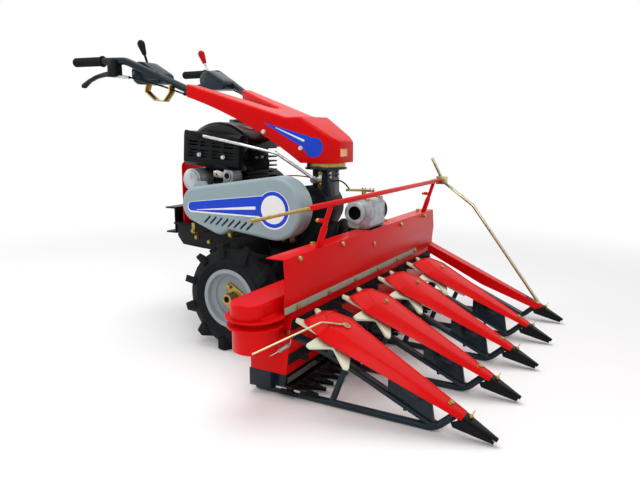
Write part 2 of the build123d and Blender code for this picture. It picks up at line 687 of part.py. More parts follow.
def belt_cover():
    """Moulded cover over the drive belt: rounded outer edge, slanted slots, flat back with a bracket."""
    inner_y = BELT_OUTER_Y + BELT_DEPTH
    cover = across(belt_outline(), (BELT_OUTER_Y, inner_y))
    cover = fillet(cover.faces().sort_by(Axis.Y)[0].edges(), BELT_ROUNDING)
    cover -= across(belt_outline(BELT_WALL), (BELT_OUTER_Y + BELT_ROUNDING, inner_y - BELT_WALL))
    (first_x, first_z), (step_x, step_z) = BELT_SLOT_START, BELT_SLOT_PITCH
    slot = Rot(0, 0, BELT_SLOT_LEAN) * Rectangle(*BELT_SLOT_SIZE)
    slots = []
    for index in range(BELT_SLOT_COUNT):
        slots.append(Pos(first_x + index * step_x, first_z + index * step_z) * slot)
    cover -= across(Sketch() + slots, (BELT_OUTER_Y - 1, BELT_OUTER_Y + BELT_ROUNDING + 1))
    return cover + across(outline(BELT_BRACKET), (inner_y, inner_y + BELT_BRACKET_THICKNESS))


def column():
    """Box column that carries the handlebar, with the lower turntable plate on its top."""
    low = TOP_LOBE_Z
    x_span = (SWIVEL_X - COLUMN_HALF_LENGTH, SWIVEL_X + COLUMN_HALF_LENGTH)
    post = block(x_span, (-COLUMN_HALF_WIDTH, COLUMN_HALF_WIDTH), (low, TURNTABLE_TOP_Z))
    plate_low = TURNTABLE_TOP_Z - TURNTABLE_THICKNESS
    plate = cylinder_z(SWIVEL_X, 0, TURNTABLE_RADIUS, (plate_low, TURNTABLE_TOP_Z))
    bore_low = TURNTABLE_TOP_Z - SWIVEL_PIN_LENGTH - 2
    bore = cylinder_z(SWIVEL_X, 0, SWIVEL_PIN_RADIUS + RUNNING_CLEARANCE, (bore_low, TURNTABLE_TOP_Z))
    return post + plate - bore - transmission_case()


def swivel_bracket():
    """Upper turntable plate with the pin that turns in the column."""
    low = TURNTABLE_TOP_Z + SEAT_GAP
    plate = cylinder_z(SWIVEL_X, 0, SWIVEL_PLATE_RADIUS, (low, HOOD_FLOOR_Z))
    return plate + cylinder_z(SWIVEL_X, 0, SWIVEL_PIN_RADIUS, (TURNTABLE_TOP_Z - SWIVEL_PIN_LENGTH, low))


def hood_plan(inset):
    """Plan of the hood: narrow front, two arms spreading to the rear, a U notch between them."""
    width = {place: value - inset for place, value in HOOD_HALF_WIDTHS.items()}
    front = HOOD_FRONT_X - inset
    rear = HOOD_REAR_X + inset
    half = [(front, width["front"] - HOOD_CORNER), (front - HOOD_CORNER, width["front"]),
            (rear, width["rear"])]
    body = outline(half + [(x, -y) for x, y in half[::-1]])
    mouth = HOOD_HALF_WIDTHS["rear"] - HOOD_ARM_WIDTH + inset
    throat = HOOD_NOTCH_RADIUS + inset
    beyond = HOOD_REAR_X - HOOD_ARM_WIDTH
    notch = outline([(beyond, mouth), (HOOD_NOTCH_X, throat), (HOOD_NOTCH_X, -throat), (beyond, -mouth)])
    return body - notch - Pos(HOOD_NOTCH_X, 0) * Circle(throat)


def hood():
    """Hollow hood over the handlebar's fork: plan and side outlines crossed, then cut out from below."""
    top = Polyline((HOOD_SHOULDER_X, HOOD_FLOOR_Z), (HOOD_FRONT_X, HOOD_FLOOR_Z),
                   (HOOD_FRONT_X, HOOD_FRONT_TOP_Z), (HOOD_SHOULDER_X, HOOD_CROWN_Z),
                   (HOOD_CROWN_REAR_X, HOOD_CROWN_Z), (HOOD_REAR_X, HOOD_REAR_Z[1]),
                   (HOOD_REAR_X, HOOD_REAR_Z[0]))
    belly = ThreePointArc((HOOD_REAR_X, HOOD_REAR_Z[0]), HOOD_BELLY, (HOOD_SHOULDER_X, HOOD_FLOOR_Z))
    reach = HOOD_HALF_WIDTHS["rear"]
    height = HOOD_REAR_Z[1]
    shell = across(make_face(top.edges() + belly.edges()), (-reach, reach)) & extrude(hood_plan(0), height)
    roof = [face for face in shell.faces() if face.normal_at().Z > 0.3]
    upright = [face for face in shell.faces() if abs(face.normal_at().Z) < 0.05]
    walls = [face for face in upright if face.center().X > HOOD_REAR_X + HOOD_WALL]
    wall_edges = ShapeList(edge for face in walls for edge in face.edges())
    rim_edges = ShapeList(edge for face in roof for edge in face.edges() if edge in wall_edges)
    shell = fillet(rim_edges, HOOD_ROUNDING)
    wall, roof_wall = HOOD_WALL, HOOD_ROOF_WALL
    floor_top, below = HOOD_FLOOR_Z + HOOD_FLOOR, HOOD_FLOOR_Z - HOOD_FLOOR
    inside = outline([(HOOD_FRONT_X - wall, floor_top), (HOOD_FRONT_X - wall, HOOD_FRONT_TOP_Z - wall),
                      (HOOD_SHOULDER_X, HOOD_CROWN_Z - roof_wall),
                      (HOOD_CROWN_REAR_X, HOOD_CROWN_Z - roof_wall),
                      (HOOD_REAR_X + wall, HOOD_REAR_Z[1] - roof_wall), (HOOD_REAR_X + wall, below),
                      (HOOD_SHOULDER_X, below), (HOOD_SHOULDER_X, floor_top)])
    hollow = across(inside, (-reach, reach)) & extrude(hood_plan(HOOD_SIDE_WALL), height)
    shell -= hollow
    for side in (-1, 1):
        shell -= bent_rod(handle_points(side), HANDLE_RADIUS + PUSH_CLEARANCE, HANDLE_BEND)
    return shell


def handle_points(side):
    """Centre line of one handle tube, from inside its arm back to the grip's end."""
    return [(x, side * y, z) for x, y, z in HANDLE_LINE]


def handle_tubes():
    return [bent_rod(handle_points(side), HANDLE_RADIUS, HANDLE_BEND, HANDLE_WALL) for side in (-1, 1)]


def grips():
    """Ribbed grips pushed over the tubes' ends."""
    shapes = []
    for side in (-1, 1):
        start, end = [Vector(*point) for point in handle_points(side)[-2:]]
        along = (end - start).normalized()
        plane = Plane(origin=end - along * GRIP_LENGTH, z_dir=along)
        ring = Circle(GRIP_RADIUS) - Circle(HANDLE_RADIUS + PUSH_CLEARANCE)
        sleeve = extrude(ring, GRIP_LENGTH)
        shapes.append(plane.location * sleeve)
    return shapes


def beside(point, side):
    """A point given on the machine's left, moved to the side asked for."""
    x, y, z = point
    return Vector(x, side * y, z)


def round_chain(circles):
    """A flat face round each circle and its next, all joined."""
    links = [round_hull(pair) for pair in zip(circles, circles[1:])]
    return Sketch() + links


def lever_clamps():
    """Clutch and brake levers below the grips and the teardrop lever gates further forward."""
    shapes = []
    for side in (-1, 1):
        tube = bent_rod(handle_points(side), HANDLE_RADIUS + PUSH_CLEARANCE, HANDLE_BEND)
        clamp = Box(*CLAMP_SIZE)
        clamp = Pos(*beside(CLAMP_CENTRE, side)) * fillet(clamp.edges().filter_by(Axis.Y), CLAMP_ROUNDING)
        blade = across(round_chain(BLADE_CIRCLES), sorted(side * y for y in BLADE_Y))
        gate = across(round_hull(GATE_CIRCLES), sorted(side * y for y in GATE_Y))
        inner_face = gate.faces().sort_by(Axis.Y)[0 if side > 0 else -1]
        gate = fillet(inner_face.edges(), GATE_ROUNDING)
        shapes += [clamp + blade - tube, gate - tube]
    return shapes


def hand_levers(gates):
    """Gear lever on the right and stop lever on the left, each with a long knob."""
    shapes = []
    for side, gate in zip((-1, 1), gates):
        foot = beside(LEVER_FOOT, side)
        top = beside(LEVER_TOP, side)
        along = (top - foot).normalized()
        knob_foot = top - along * KNOB_LENGTH
        rod = bent_rod([foot, knob_foot + along * KNOB_LENGTH / 4], LEVER_ROD_RADIUS)
        knob = revolve(Plane.XZ * outline(KNOB_PROFILE), Axis.Z)
        shapes.append(rod + Plane(origin=knob_foot, z_dir=along).location * knob - gate)
    return shapes


def catch(gate):
    """Bent strap below the right handle, from its lever gate to the tube, with a hole for the cable."""
    tube = bent_rod(handle_points(-1), HANDLE_RADIUS + PUSH_CLEARANCE, HANDLE_BEND)
    strap = across(round_chain([(x, z, CATCH_HALF_THICKNESS) for x, z in CATCH_LINE]), CATCH_Y)
    hole = bent_rod([beside(point, -1) for point in CABLE_LINE], CABLE_RADIUS + SEAT_GAP, CABLE_BEND)
    return strap - tube - gate - hole


def control_cables(clamps, hood_shell):
    """Clutch and brake cables below the handles, each with its adjuster in the clamp, ending in the hood."""
    shapes = []
    for side, clamp in zip((-1, 1), clamps):
        line = [beside(point, side) for point in CABLE_LINE]
        adjuster = bent_rod([beside(ADJUSTER_START, side), line[0]], ADJUSTER_RADIUS)
        shapes.append(adjuster + bent_rod(line, CABLE_RADIUS, CABLE_BEND) - clamp - hood_shell)
    return shapes


def shift_rod():
    """Gear shift rod with its grip beside the engine, bent in to a boss on the column."""
    rod = bent_rod(SHIFT_LINE, SHIFT_RADIUS, SHIFT_BEND)
    start, turn = (Vector(*point) for point in SHIFT_LINE[:2])
    grip = bent_rod([start, start + (turn - start).normalized() * SHIFT_GRIP_LENGTH], SHIFT_GRIP_RADIUS)
    end_x, _, end_z = SHIFT_LINE[-1]
    boss_y = (-COLUMN_HALF_WIDTH - SHIFT_BOSS_LENGTH, -COLUMN_HALF_WIDTH)
    return rod + grip + cylinder_y(end_x, end_z, SHIFT_BOSS_RADIUS, boss_y)


def header_neck():
    """Cast neck between the tractor's coupling and the header, with the gearbox's seat on top."""
    deck_top = BODY_TOP_Z + DECK_THICKNESS
    foot_x = (NECK_X[0] + NECK_FLANGE_THICKNESS, NECK_X[1])
    low = Pos(sum(foot_x) / 2, 0, deck_top) * Rectangle(foot_x[1] - foot_x[0], 2 * NECK_HALF_WIDTH)
    seat_width = 2 * (NECK_HALF_WIDTH - NECK_TAPER)
    high = Pos(sum(GEARBOX_X) / 2, 0, NECK_TOP_Z) * Rectangle(GEARBOX_X[1] - GEARBOX_X[0], seat_width)
    flange = cylinder_x(0, COUPLING_Z, NECK_FLANGE_RADIUS, (NECK_X[0], foot_x[0]))
    pipe = cylinder_x(0, COUPLING_Z - NECK_PIPE_DROP, NECK_PIPE_RADIUS, (NECK_X[0], sum(NECK_X) / 2))
    return loft([low, high]) + flange + pipe


def header_gearbox():
    """Grey angle gearbox: rounded body, open round port to the right and a rubber disc on the left."""
    right, left = -GEARBOX_HALF_WIDTH, GEARBOX_HALF_WIDTH
    body_left = left - RUBBER_DISC_WIDTH
    body = block(GEARBOX_X, (right + PORT_LENGTH, body_left), (NECK_TOP_Z, GEARBOX_TOP_Z))
    body = fillet(body.edges().filter_by(Axis.Y), GEARBOX_ROUNDING)
    port = cylinder_y(PORT_X, PORT_Z, PORT_RADIUS, (right, 0))
    disc = cylinder_y(RUBBER_DISC_X, PORT_Z, RUBBER_DISC_RADIUS, (body_left, left))
    return body + port + disc - cylinder_y(PORT_X, PORT_Z, PORT_BORE_RADIUS, (right - 1, right + PORT_DEPTH))


def body_outline(inset):
    """Section of the hollow header body: sloped front wall, flat top, square back."""
    beam_top = SKID_DIAMETER + BEAM_HEIGHT
    low, high = BODY_FRONT_X
    return outline([(BODY_REAR_X + inset, beam_top + inset), (low - inset, beam_top + inset),
                    (high - inset, BODY_TOP_Z - inset), (BODY_REAR_X + inset, BODY_TOP_Z - inset)])


def body_solid():
    """The header body's outer form, not yet hollow."""
    return across(body_outline(0), (-HEADER_HALF_WIDTH, HEADER_HALF_WIDTH))


def header_body():
    """Closed sheet body along the whole header."""
    inside = HEADER_HALF_WIDTH - BODY_SHEET
    return body_solid() - across(body_outline(BODY_SHEET), (-inside, inside))


def deck_drum():
    """Deck plate with its rounded right end and, on a narrower neck below it, the drum with its lip."""
    deck_z = (BODY_TOP_Z, BODY_TOP_Z + DECK_THICKNESS)
    lip_low, lip_high = DRUM_FLANGE_Z

    def round_piece(radius, z_span):
        return cylinder_z(DRUM_X, DRUM_Y, radius, z_span)

    deck = block(DECK_X, (DRUM_Y, HEADER_HALF_WIDTH), deck_z) + round_piece(DRUM_FLANGE_RADIUS, deck_z)
    drum = round_piece(DRUM_RADIUS, (DRUM_BOTTOM_Z, lip_high)) + round_piece(DRUM_LIP_RADIUS, DRUM_FLANGE_Z)
    drum -= round_piece(DRUM_RADIUS - DRUM_WALL, (DRUM_BOTTOM_Z + DRUM_WALL, lip_low))
    drum += round_piece(DRUM_NECK_RADIUS, (lip_low, deck_z[0]))
    cap = round_piece(DRUM_CAP_RADIUS, (deck_z[1], deck_z[1] + DRUM_CAP_HEIGHT))
    return deck + (drum - body_solid()) + cap


def drive_cover():
    """Cover over the cross drive behind the board, round over the drum and open below."""
    low = BODY_TOP_Z + DECK_THICKNESS
    high = low + DRIVE_COVER_HEIGHT

    def round_ended(inset, z_span):
        spans = [(span[0] + inset, span[1] - inset) for span in (DRIVE_COVER_X, DRIVE_COVER_Y)]
        box = block(*spans, z_span)
        return fillet(box.edges().filter_by(Axis.Z).sort_by(Axis.Y)[:2], DRIVE_COVER_CORNER - inset)

    cover = round_ended(0, (low, high))
    cover = fillet(cover.faces().sort_by(Axis.Z)[-1].edges(), DRIVE_COVER_ROUNDING)
    cover -= round_ended(SHEET, (low - 1, high - DRIVE_COVER_ROUNDING))
    cap_radius = DRUM_CAP_RADIUS + PUSH_CLEARANCE
    return cover - cylinder_z(DRUM_X, DRUM_Y, cap_radius, (low - 1, low + DRUM_CAP_HEIGHT))


def upper_board():
    """Creased board above the knife, with a flange folded back along its top."""
    crease_x = BOARD_X + BOARD_CREASE[0]
    low = BODY_TOP_Z + DECK_THICKNESS
    fold = [(BOARD_X, low), (BOARD_X, STRIP_TOP_Z + STRIP_THICKNESS), (crease_x, BOARD_CREASE[1]),
            (BOARD_X, BOARD_TOP_Z), (BOARD_FLANGE_X, BOARD_TOP_Z)]
    board = across(folded_sheet(fold, SHEET), BOARD_Y)
    notch_y = NECK_HALF_WIDTH + SEAT_GAP
    notch_z = (BOARD_TOP_Z - 2 * SHEET, BOARD_TOP_Z + 1)
    return board - block((BOARD_FLANGE_X - 1, NECK_X[1]), (-notch_y, notch_y), notch_z)


def board_strip():
    """Flat strip bolted along the board's lower edge."""
    low = BODY_TOP_Z + DECK_THICKNESS
    return block((BOARD_X, BOARD_X + STRIP_THICKNESS), (BOARD_Y[0], STRIP_END_Y), (low, STRIP_TOP_Z))


def guide_bar():
    """Two leaning posts, each a rod in a sleeve, and the crop guide bar across their tops."""
    rod_y = (BAR_ROD_END_Y, BAR_Y[0])
    bar = cylinder_y(BAR_X, BAR_Z, BAR_RADIUS, BAR_Y) + cylinder_y(BAR_X, BAR_Z, BAR_ROD_RADIUS, rod_y)
    foot_x, foot_z = POST_FOOT
    for y in POST_YS:
        foot, top = Vector(foot_x, y, foot_z), Vector(BAR_X, y, BAR_Z)
        along = (top - foot).normalized()
        bar += bent_rod([foot, foot + along * POST_SLEEVE_LENGTH], POST_RADIUS)
        bar += bent_rod([foot, top], POST_INNER_RADIUS)
    return bar - block((0, BAR_X * 2), BOARD_Y, (0, BOARD_TOP_Z))


def side_cover_height(x):
    """Z of the leftmost cover's top at this X."""
    rear_x, rear_z = SIDE_COVER_REAR
    nose_x, nose_z = cover_nose()
    return rear_z + (x - rear_x) * (nose_z - rear_z) / (nose_x - rear_x)


def crop_rods():
    """Bent rod clipped to the bar's left end and bolted to the left cover, and the right cover's wire."""
    left_y, right_y = divider_positions()[-1], divider_positions()[0]
    foot_x = cover_nose()[0] - CROP_ROD_FOOT_SETBACK
    foot_z = side_cover_height(foot_x)
    rise = atan2(foot_z - side_cover_height(0), foot_x)
    seat = Plane(origin=(foot_x, left_y, foot_z), z_dir=(-sin(rise), 0, cos(rise)))
    eye = extrude(Circle(CROP_EYE_RADIUS), CROP_EYE_THICKNESS)
    line = [(x, CROP_ROD_Y, z) for x, z in CROP_ROD_LINE]
    line.append(seat.from_local_coords((0, 0, CROP_EYE_THICKNESS)))
    clip_x, clip_z = CROP_CLIP
    clip = block(clip_x, (BAR_Y[1], BAR_Y[1] + CROP_CLIP_THICKNESS), clip_z)
    rod = bent_rod(line, CROP_ROD_RADIUS, CROP_ROD_BEND) + clip + seat.location * eye
    head = cover_plane(right_y)
    start = head.from_local_coords((0, 0, CROP_EYE_THICKNESS))
    turn = head.from_local_coords((*CROP_WIRE_TURN, CROP_EYE_THICKNESS))
    wire = bent_rod([start, turn, CROP_WIRE_END], CROP_WIRE_RADIUS, CROP_WIRE_BEND) + head.location * eye
    return [rod, wire]


def frame_beam():
    """Rectangular tube across the machine on top of the skids."""
    low, high = SKID_DIAMETER, SKID_DIAMETER + BEAM_HEIGHT
    beam = block(BEAM_X, (-HEADER_HALF_WIDTH, HEADER_HALF_WIDTH), (low, high))
    inner_x = (BEAM_X[0] + BEAM_WALL, BEAM_X[1] - BEAM_WALL)
    inner_y = (-HEADER_HALF_WIDTH + BEAM_WALL, HEADER_HALF_WIDTH - BEAM_WALL)
    return beam - block(inner_x, inner_y, (low + BEAM_WALL, high - BEAM_WALL))


def skids(tips):
    """Bent skid bars, one below each divider, with a brace up to its arm and a gusset to the beam."""
    radius = SKID_DIAMETER / 2
    shapes = []
    for y, tip in zip(divider_positions(), tips):
        runner = bent_rod([(SKID_REAR_X, y, radius), (SKID_BEND_X, y, radius), (SKID_TOP[0], y, SKID_TOP[1])],
                          radius, SKID_BEND_RADIUS)
        brace = bent_rod([(BRACE_FOOT_X, y, radius), (BRACE_TOP[0], y, BRACE_TOP[1])], BRACE_DIAMETER / 2)
        gusset = block((BEAM_X[1], CUTTER_X[0]), (y - GUSSET_THICKNESS / 2, y + GUSSET_THICKNESS / 2),
                       (radius, SKID_DIAMETER + BEAM_HEIGHT))
        shapes.append(runner + brace + gusset - tip)
    return shapes


def divider_arms(skid_bars):
    """Arms below the dividers, from the header body to the skids' bends, with their webs and star pins."""
    body = body_solid()
    rise = (ARM_REAR_Z - SKID_DIAMETER - BEAM_HEIGHT) / (BODY_TOP_Z - SKID_DIAMETER - BEAM_HEIGHT)
    rear_x = BODY_FRONT_X[0] + rise * (BODY_FRONT_X[1] - BODY_FRONT_X[0])
    half = ARM_HALF_THICKNESS
    bar = round_chain([(rear_x, ARM_REAR_Z, half), (*ARM_KNEE, half), (*ARM_FRONT, half)])
    shapes = []
    for y, skid in zip(divider_positions(), skid_bars):
        arm = across(bar, (y - ARM_WIDTH / 2, y + ARM_WIDTH / 2))
        if y in star_positions():
            arm += arm_web(y) + cover_plane(y).location * star_pin()
        shapes.append(arm - body - skid)
    return shapes


def arm_web(y):
    """Upright web between an arm and the cover above it, with the spring disc on it and a peg below."""
    plane = cover_plane(y)
    start, end = (plane.from_local_coords((reach, 0, -COVER_SHEET - SEAT_GAP)) for reach in ARM_WEB_REACH)
    (knee_x, knee_z), (front_x, front_z) = ARM_KNEE, ARM_FRONT
    low_z = knee_z + (start.X - knee_x) * (front_z - knee_z) / (front_x - knee_x)
    web = outline([(start.X, low_z), (start.X, start.Z), (end.X, end.Z), ARM_FRONT])
    half = ARM_WEB_THICKNESS / 2
    high, low = ARM_DISC_DEPTHS
    disc = plane.location * (Pos(ARM_DISC_X, 0, -low) * extrude(Circle(ARM_DISC_RADIUS), low - high))
    return across(web, (y - half, y + half)) + disc + cylinder_z(ARM_PEG_X, y, ARM_PEG_RADIUS, ARM_PEG_Z)


def star_pin():
    """Pin of a star wheel with the collar that carries its hub, below the cover's sheet."""
    collar_top = -STAR_DROP - STAR_HUB_DEPTH + STAR_HUB_RISE - SEAT_GAP
    pin = Pos(0, 0, -STAR_PIN_ROOT) * extrude(Circle(STAR_PIN_RADIUS), STAR_PIN_ROOT - COVER_SHEET)
    return pin + Pos(0, 0, -STAR_PIN_ROOT) * extrude(Circle(STAR_COLLAR_RADIUS), STAR_PIN_ROOT + collar_top)


def star_wheel(y):
    """Pointed star wheel lying below its cover, with a hub round the pin."""
    tip_half = STAR_TIP_WIDTH / 2
    points = []
    for index in range(STAR_TEETH):
        tip_angle = radians(index * 360 / STAR_TEETH)
        root_angle = radians((index + 0.5) * 360 / STAR_TEETH)
        for offset in (-tip_half, tip_half):
            points.append((STAR_RADIUS * cos(tip_angle) - offset * sin(tip_angle),
                           STAR_RADIUS * sin(tip_angle) + offset * cos(tip_angle)))
        points.append((STAR_ROOT_RADIUS * cos(root_angle), STAR_ROOT_RADIUS * sin(root_angle)))
    face = fillet(outline(points).vertices(), STAR_TIP_ROUNDING)
    wheel = Pos(0, 0, -STAR_THICKNESS) * extrude(face, STAR_THICKNESS)
    wheel += Pos(0, 0, STAR_HUB_RISE - STAR_HUB_DEPTH) * extrude(Circle(STAR_HUB_RADIUS), STAR_HUB_DEPTH)
    bore = extrude(Circle(STAR_PIN_RADIUS + RUNNING_CLEARANCE), STAR_HUB_DEPTH, both=True)
    return cover_plane(y, STAR_DROP).location * (wheel - bore)


def divider_cover(y):
    """Folded cover over a star wheel: a flat top that narrows to the tip, its sides bent down all round."""
    (rear_x, rear_half), (shoulder_x, shoulder_half) = COVER_HEAD
    head_depth, nose_depth = COVER_DEPTHS
    low_rear_x = rear_x - head_depth
    fall = (nose_depth - head_depth) / (COVER_LENGTH - low_rear_x)

    def ring(inset, bent):
        """Outline of the flat top, or of the bent sides' lower edge, drawn in by the sheet's thickness."""
        rows = [((low_rear_x if bent else rear_x) + inset, rear_half), (shoulder_x, shoulder_half),
                (COVER_LENGTH + inset, COVER_NOSE_HALF_WIDTH)]
        points = []
        for x, width in rows:
            depth = head_depth + fall * (x - low_rear_x) if bent else 0.0
            points.append((x, width + depth - inset, -depth - inset))
        return make_face(Polyline(*points, *[(x, -half, z) for x, half, z in points[::-1]], close=True))

    outer, inner = (loft([ring(inset, True), ring(inset, False)], ruled=True) for inset in (0.0, COVER_SHEET))
    return cover_plane(y).location * (outer - inner)


def side_cover(y, tip):
    """Narrow plain cover of the leftmost divider, from the board to the tip."""
    nose_x, nose_z = cover_nose()
    rear_x, rear_z = SIDE_COVER_REAR
    middle_x, middle_z = (rear_x + nose_x) / 2, (rear_z + nose_z) / 2
    rear_drop, middle_drop, nose_drop = SIDE_COVER_DEPTHS
    rear_half, nose_half = SIDE_COVER_HALF_WIDTHS

    def form(inset):
        profile = outline([(rear_x, rear_z - inset), (nose_x, nose_z - inset), (nose_x, nose_z - nose_drop),
                           (middle_x, middle_z - middle_drop), (rear_x, rear_z - rear_drop)])
        plan = outline([(rear_x, rear_half - inset), (nose_x, nose_half - inset), (nose_x, inset - nose_half),
                        (rear_x, inset - rear_half)])
        return across(profile, (-rear_half, rear_half)) & extrude(plan, rear_z)

    low_copy = Pos(0, 0, -2 * COVER_SHEET) * form(COVER_SHEET)
    return Pos(0, y, 0) * (form(0) - form(COVER_SHEET) - low_copy) - tip


def divider_tip(y):
    """Black nose in front of a cover, with a tongue bolted under the cover's sheet."""
    rear = Plane(origin=(COVER_LENGTH, 0, 0), x_dir=(0, 1, 0), z_dir=(1, 0, 0))
    front = Plane(origin=(COVER_LENGTH + TIP_LENGTH, 0, 0), x_dir=(0, 1, 0), z_dir=(1, 0, 0))
    wide = rear * Pos(0, -TIP_DEPTH / 2) * RectangleRounded(2 * TIP_HALF_WIDTH, TIP_DEPTH, TIP_ROUNDING)
    narrow = front * Pos(0, -TIP_END_DROP) * RectangleRounded(*TIP_END, TIP_END_ROUNDING)
    tongue_x = (COVER_LENGTH - TONGUE_LENGTH, COVER_LENGTH)
    tongue_y = (-TONGUE_HALF_WIDTH, TONGUE_HALF_WIDTH)
    tongue = block(tongue_x, tongue_y, (-COVER_SHEET - TONGUE_DEPTH, -COVER_SHEET))
    return cover_plane(y).location * (loft([wide, narrow]) + tongue)


def tooth_row(base_x, tip_x, base, tip, pitch, count, first_y):
    """Row of tapered teeth pointing forward, as flat outlines."""
    teeth = []
    for index in range(count):
        y = first_y + index * pitch
        teeth.append(outline([(base_x, y - base / 2), (tip_x, y - tip / 2), (tip_x, y + tip / 2),
                              (base_x, y + base / 2)]))
    return teeth


def guard_first_y():
    return -GUARD_PITCH * (GUARD_COUNT - 1) / 2 + GUARD_OFFSET_Y


def cutter_bar():
    """Finger bar on the gussets' front: a flat bar with a pointed guard at every pitch."""
    root_x = CUTTER_X[1] - TOOTH_ROOT
    teeth = tooth_row(root_x, GUARD_TIP_X, GUARD_BASE, GUARD_TIP, GUARD_PITCH, GUARD_COUNT, guard_first_y())
    bar = block(CUTTER_X, (-HEADER_HALF_WIDTH - CUTTER_OVERHANG, HEADER_HALF_WIDTH), CUTTER_Z)
    return bar + Pos(0, 0, CUTTER_Z[0]) * extrude(Sketch() + teeth, CUTTER_Z[1] - CUTTER_Z[0])


def knife():
    """Knife that slides on the finger bar: a back bar with a pointed section at every pitch."""
    low = CUTTER_Z[1] + SEAT_GAP
    first = guard_first_y()
    last = first + GUARD_PITCH * (GUARD_COUNT - 1)
    base = GUARD_PITCH - KNIFE_GAP
    root_x = KNIFE_BACK_X[1] - TOOTH_ROOT
    teeth = tooth_row(root_x, KNIFE_TIP_X, base, KNIFE_TIP, GUARD_PITCH, GUARD_COUNT, first)
    span = (first - base / 2, last + base / 2)
    back = block(KNIFE_BACK_X, span, (low, low + KNIFE_THICKNESS + KNIFE_BACK_HEIGHT))
    return back + Pos(0, 0, low) * extrude(Sketch() + teeth, KNIFE_THICKNESS)


def conveyor_belts():
    """Two crop belts on the body's sloped front wall, each with a row of fingers."""
    low_x, high_x = BODY_FRONT_X
    low_z, high_z = SKID_DIAMETER + BEAM_HEIGHT, BODY_TOP_Z
    lean = (high_x - low_x) / (high_z - low_z)
    span = (-HEADER_HALF_WIDTH, HEADER_HALF_WIDTH)
    shapes = []
    for z in BELT_RUN_HEIGHTS:
        low, high = z - BELT_BAND / 2, z + BELT_BAND / 2
        low_wall, high_wall = (low_x + lean * (level - low_z) for level in (low, high))
        band = outline([(low_wall, low), (low_wall + BELT_THICKNESS, low), (high_wall + BELT_THICKNESS, high),
                        (high_wall, high)])
        belt = across(band, span)
        count = int((span[1] - span[0]) / FINGER_PITCH)
        for index in range(count):
            y = span[0] + (index + 0.5) * FINGER_PITCH
            wall = low_x + lean * (z - low_z)
            finger_x = (wall + BELT_THICKNESS / 2, wall + FINGER_REACH)
            finger_z = (z - FINGER_HEIGHT / 2, z + FINGER_HEIGHT / 2)
            belt += block(finger_x, (y, y + FINGER_THICKNESS), finger_z)
        shapes.append(belt)
    return shapes


def build():
    """Every piece by its node name, still measured from the axle."""
    pieces = {}
    for side, word in ((-1, "right"), (1, "left")):
        pieces.update(wheel_pieces(side, word))
    pieces["transmission_case"] = transmission_case()
    pieces["engine_bed"] = engine_bed()
    pieces["engine_block"] = engine_block()
    pieces["engine_cowl"] = engine_cowl()
    pieces["muffler_shield"] = muffler_shield()
    pieces["muffler"] = muffler()
    pieces["fan_housing"] = fan_housing()
    pieces["rear_channel"] = rear_channel()
    pieces["rear_guard"] = rear_guard()
    pieces["belt_cover"] = belt_cover()
    pieces["column"] = column()
    pieces["swivel_bracket"] = swivel_bracket()
    pieces["hood"] = hood()
    pieces["handle_tubes"] = handle_tubes()
    pieces["grips"] = grips()
    clamps = lever_clamps()
    pieces["lever_clamps"] = clamps
    pieces["hand_levers"] = hand_levers(clamps[1::2])
    pieces["catch"] = catch(clamps[1])
    pieces["control_cables"] = control_cables(clamps[::2], pieces["hood"])
    pieces["shift_rod"] = shift_rod()
    pieces["header_neck"] = header_neck()
    pieces["header_gearbox"] = header_gearbox()
    pieces["header_body"] = header_body()
    pieces["deck_drum"] = deck_drum()
    pieces["drive_cover"] = drive_cover()
    pieces["upper_board"] = upper_board()
    pieces["board_strip"] = board_strip()
    pieces["guide_bar"] = guide_bar()
    pieces["crop_rods"] = crop_rods()
    pieces["frame_beam"] = frame_beam()
    tips = [divider_tip(y) for y in divider_positions()]
    skid_bars = skids(tips)
    pieces["skids"] = skid_bars
    pieces["divider_arms"] = divider_arms(skid_bars)
    pieces["cutter_bar"] = cutter_bar()
    pieces["knife"] = knife()
    covers = [divider_cover(y) for y in star_positions()]
    pieces["divider_covers"] = covers + [side_cover(divider_positions()[-1], tips[-1])]
    pieces["divider_tips"] = tips
    for index, y in enumerate(star_positions()):
        pieces[f"star_wheel_{index + 1}"] = star_wheel(y)
    pieces["conveyor_belts"] = conveyor_belts()
    return {name: Compound(shape) if isinstance(shape, list) else shape for name, shape in pieces.items()}


def ground_shift(pieces):
    """Move that brings the middle of the machine's plan to the origin."""
    box = Compound(list(pieces.values())).bounding_box()
    return Pos(-box.center().X, -box.center().Y, 0)


def main():
    pieces = build()
    shift = ground_shift(pieces)
    os.makedirs("parts", exist_ok=True)
    for name, shape in pieces.items():
        export_step(shift * shape, f"parts/{name}.step")


if __name__ == "__main__":
    main()
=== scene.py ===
# %% [markdown]
# # Two-wheel tractor with a crop reaper
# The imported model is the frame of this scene: every CAD piece already stands in its place, in metres.
# What follows dresses it. Painted pieces get soft edges, every surface gets a finish made of nodes, and
# the small things that a designer leaves to the workshop, such as bolts, bands and grips, are modelled
# and set on the piece that carries them.

# %% Load the frame
import json
from math import cos, hypot, radians, sin

import bpy
from mathutils import Matrix, Vector

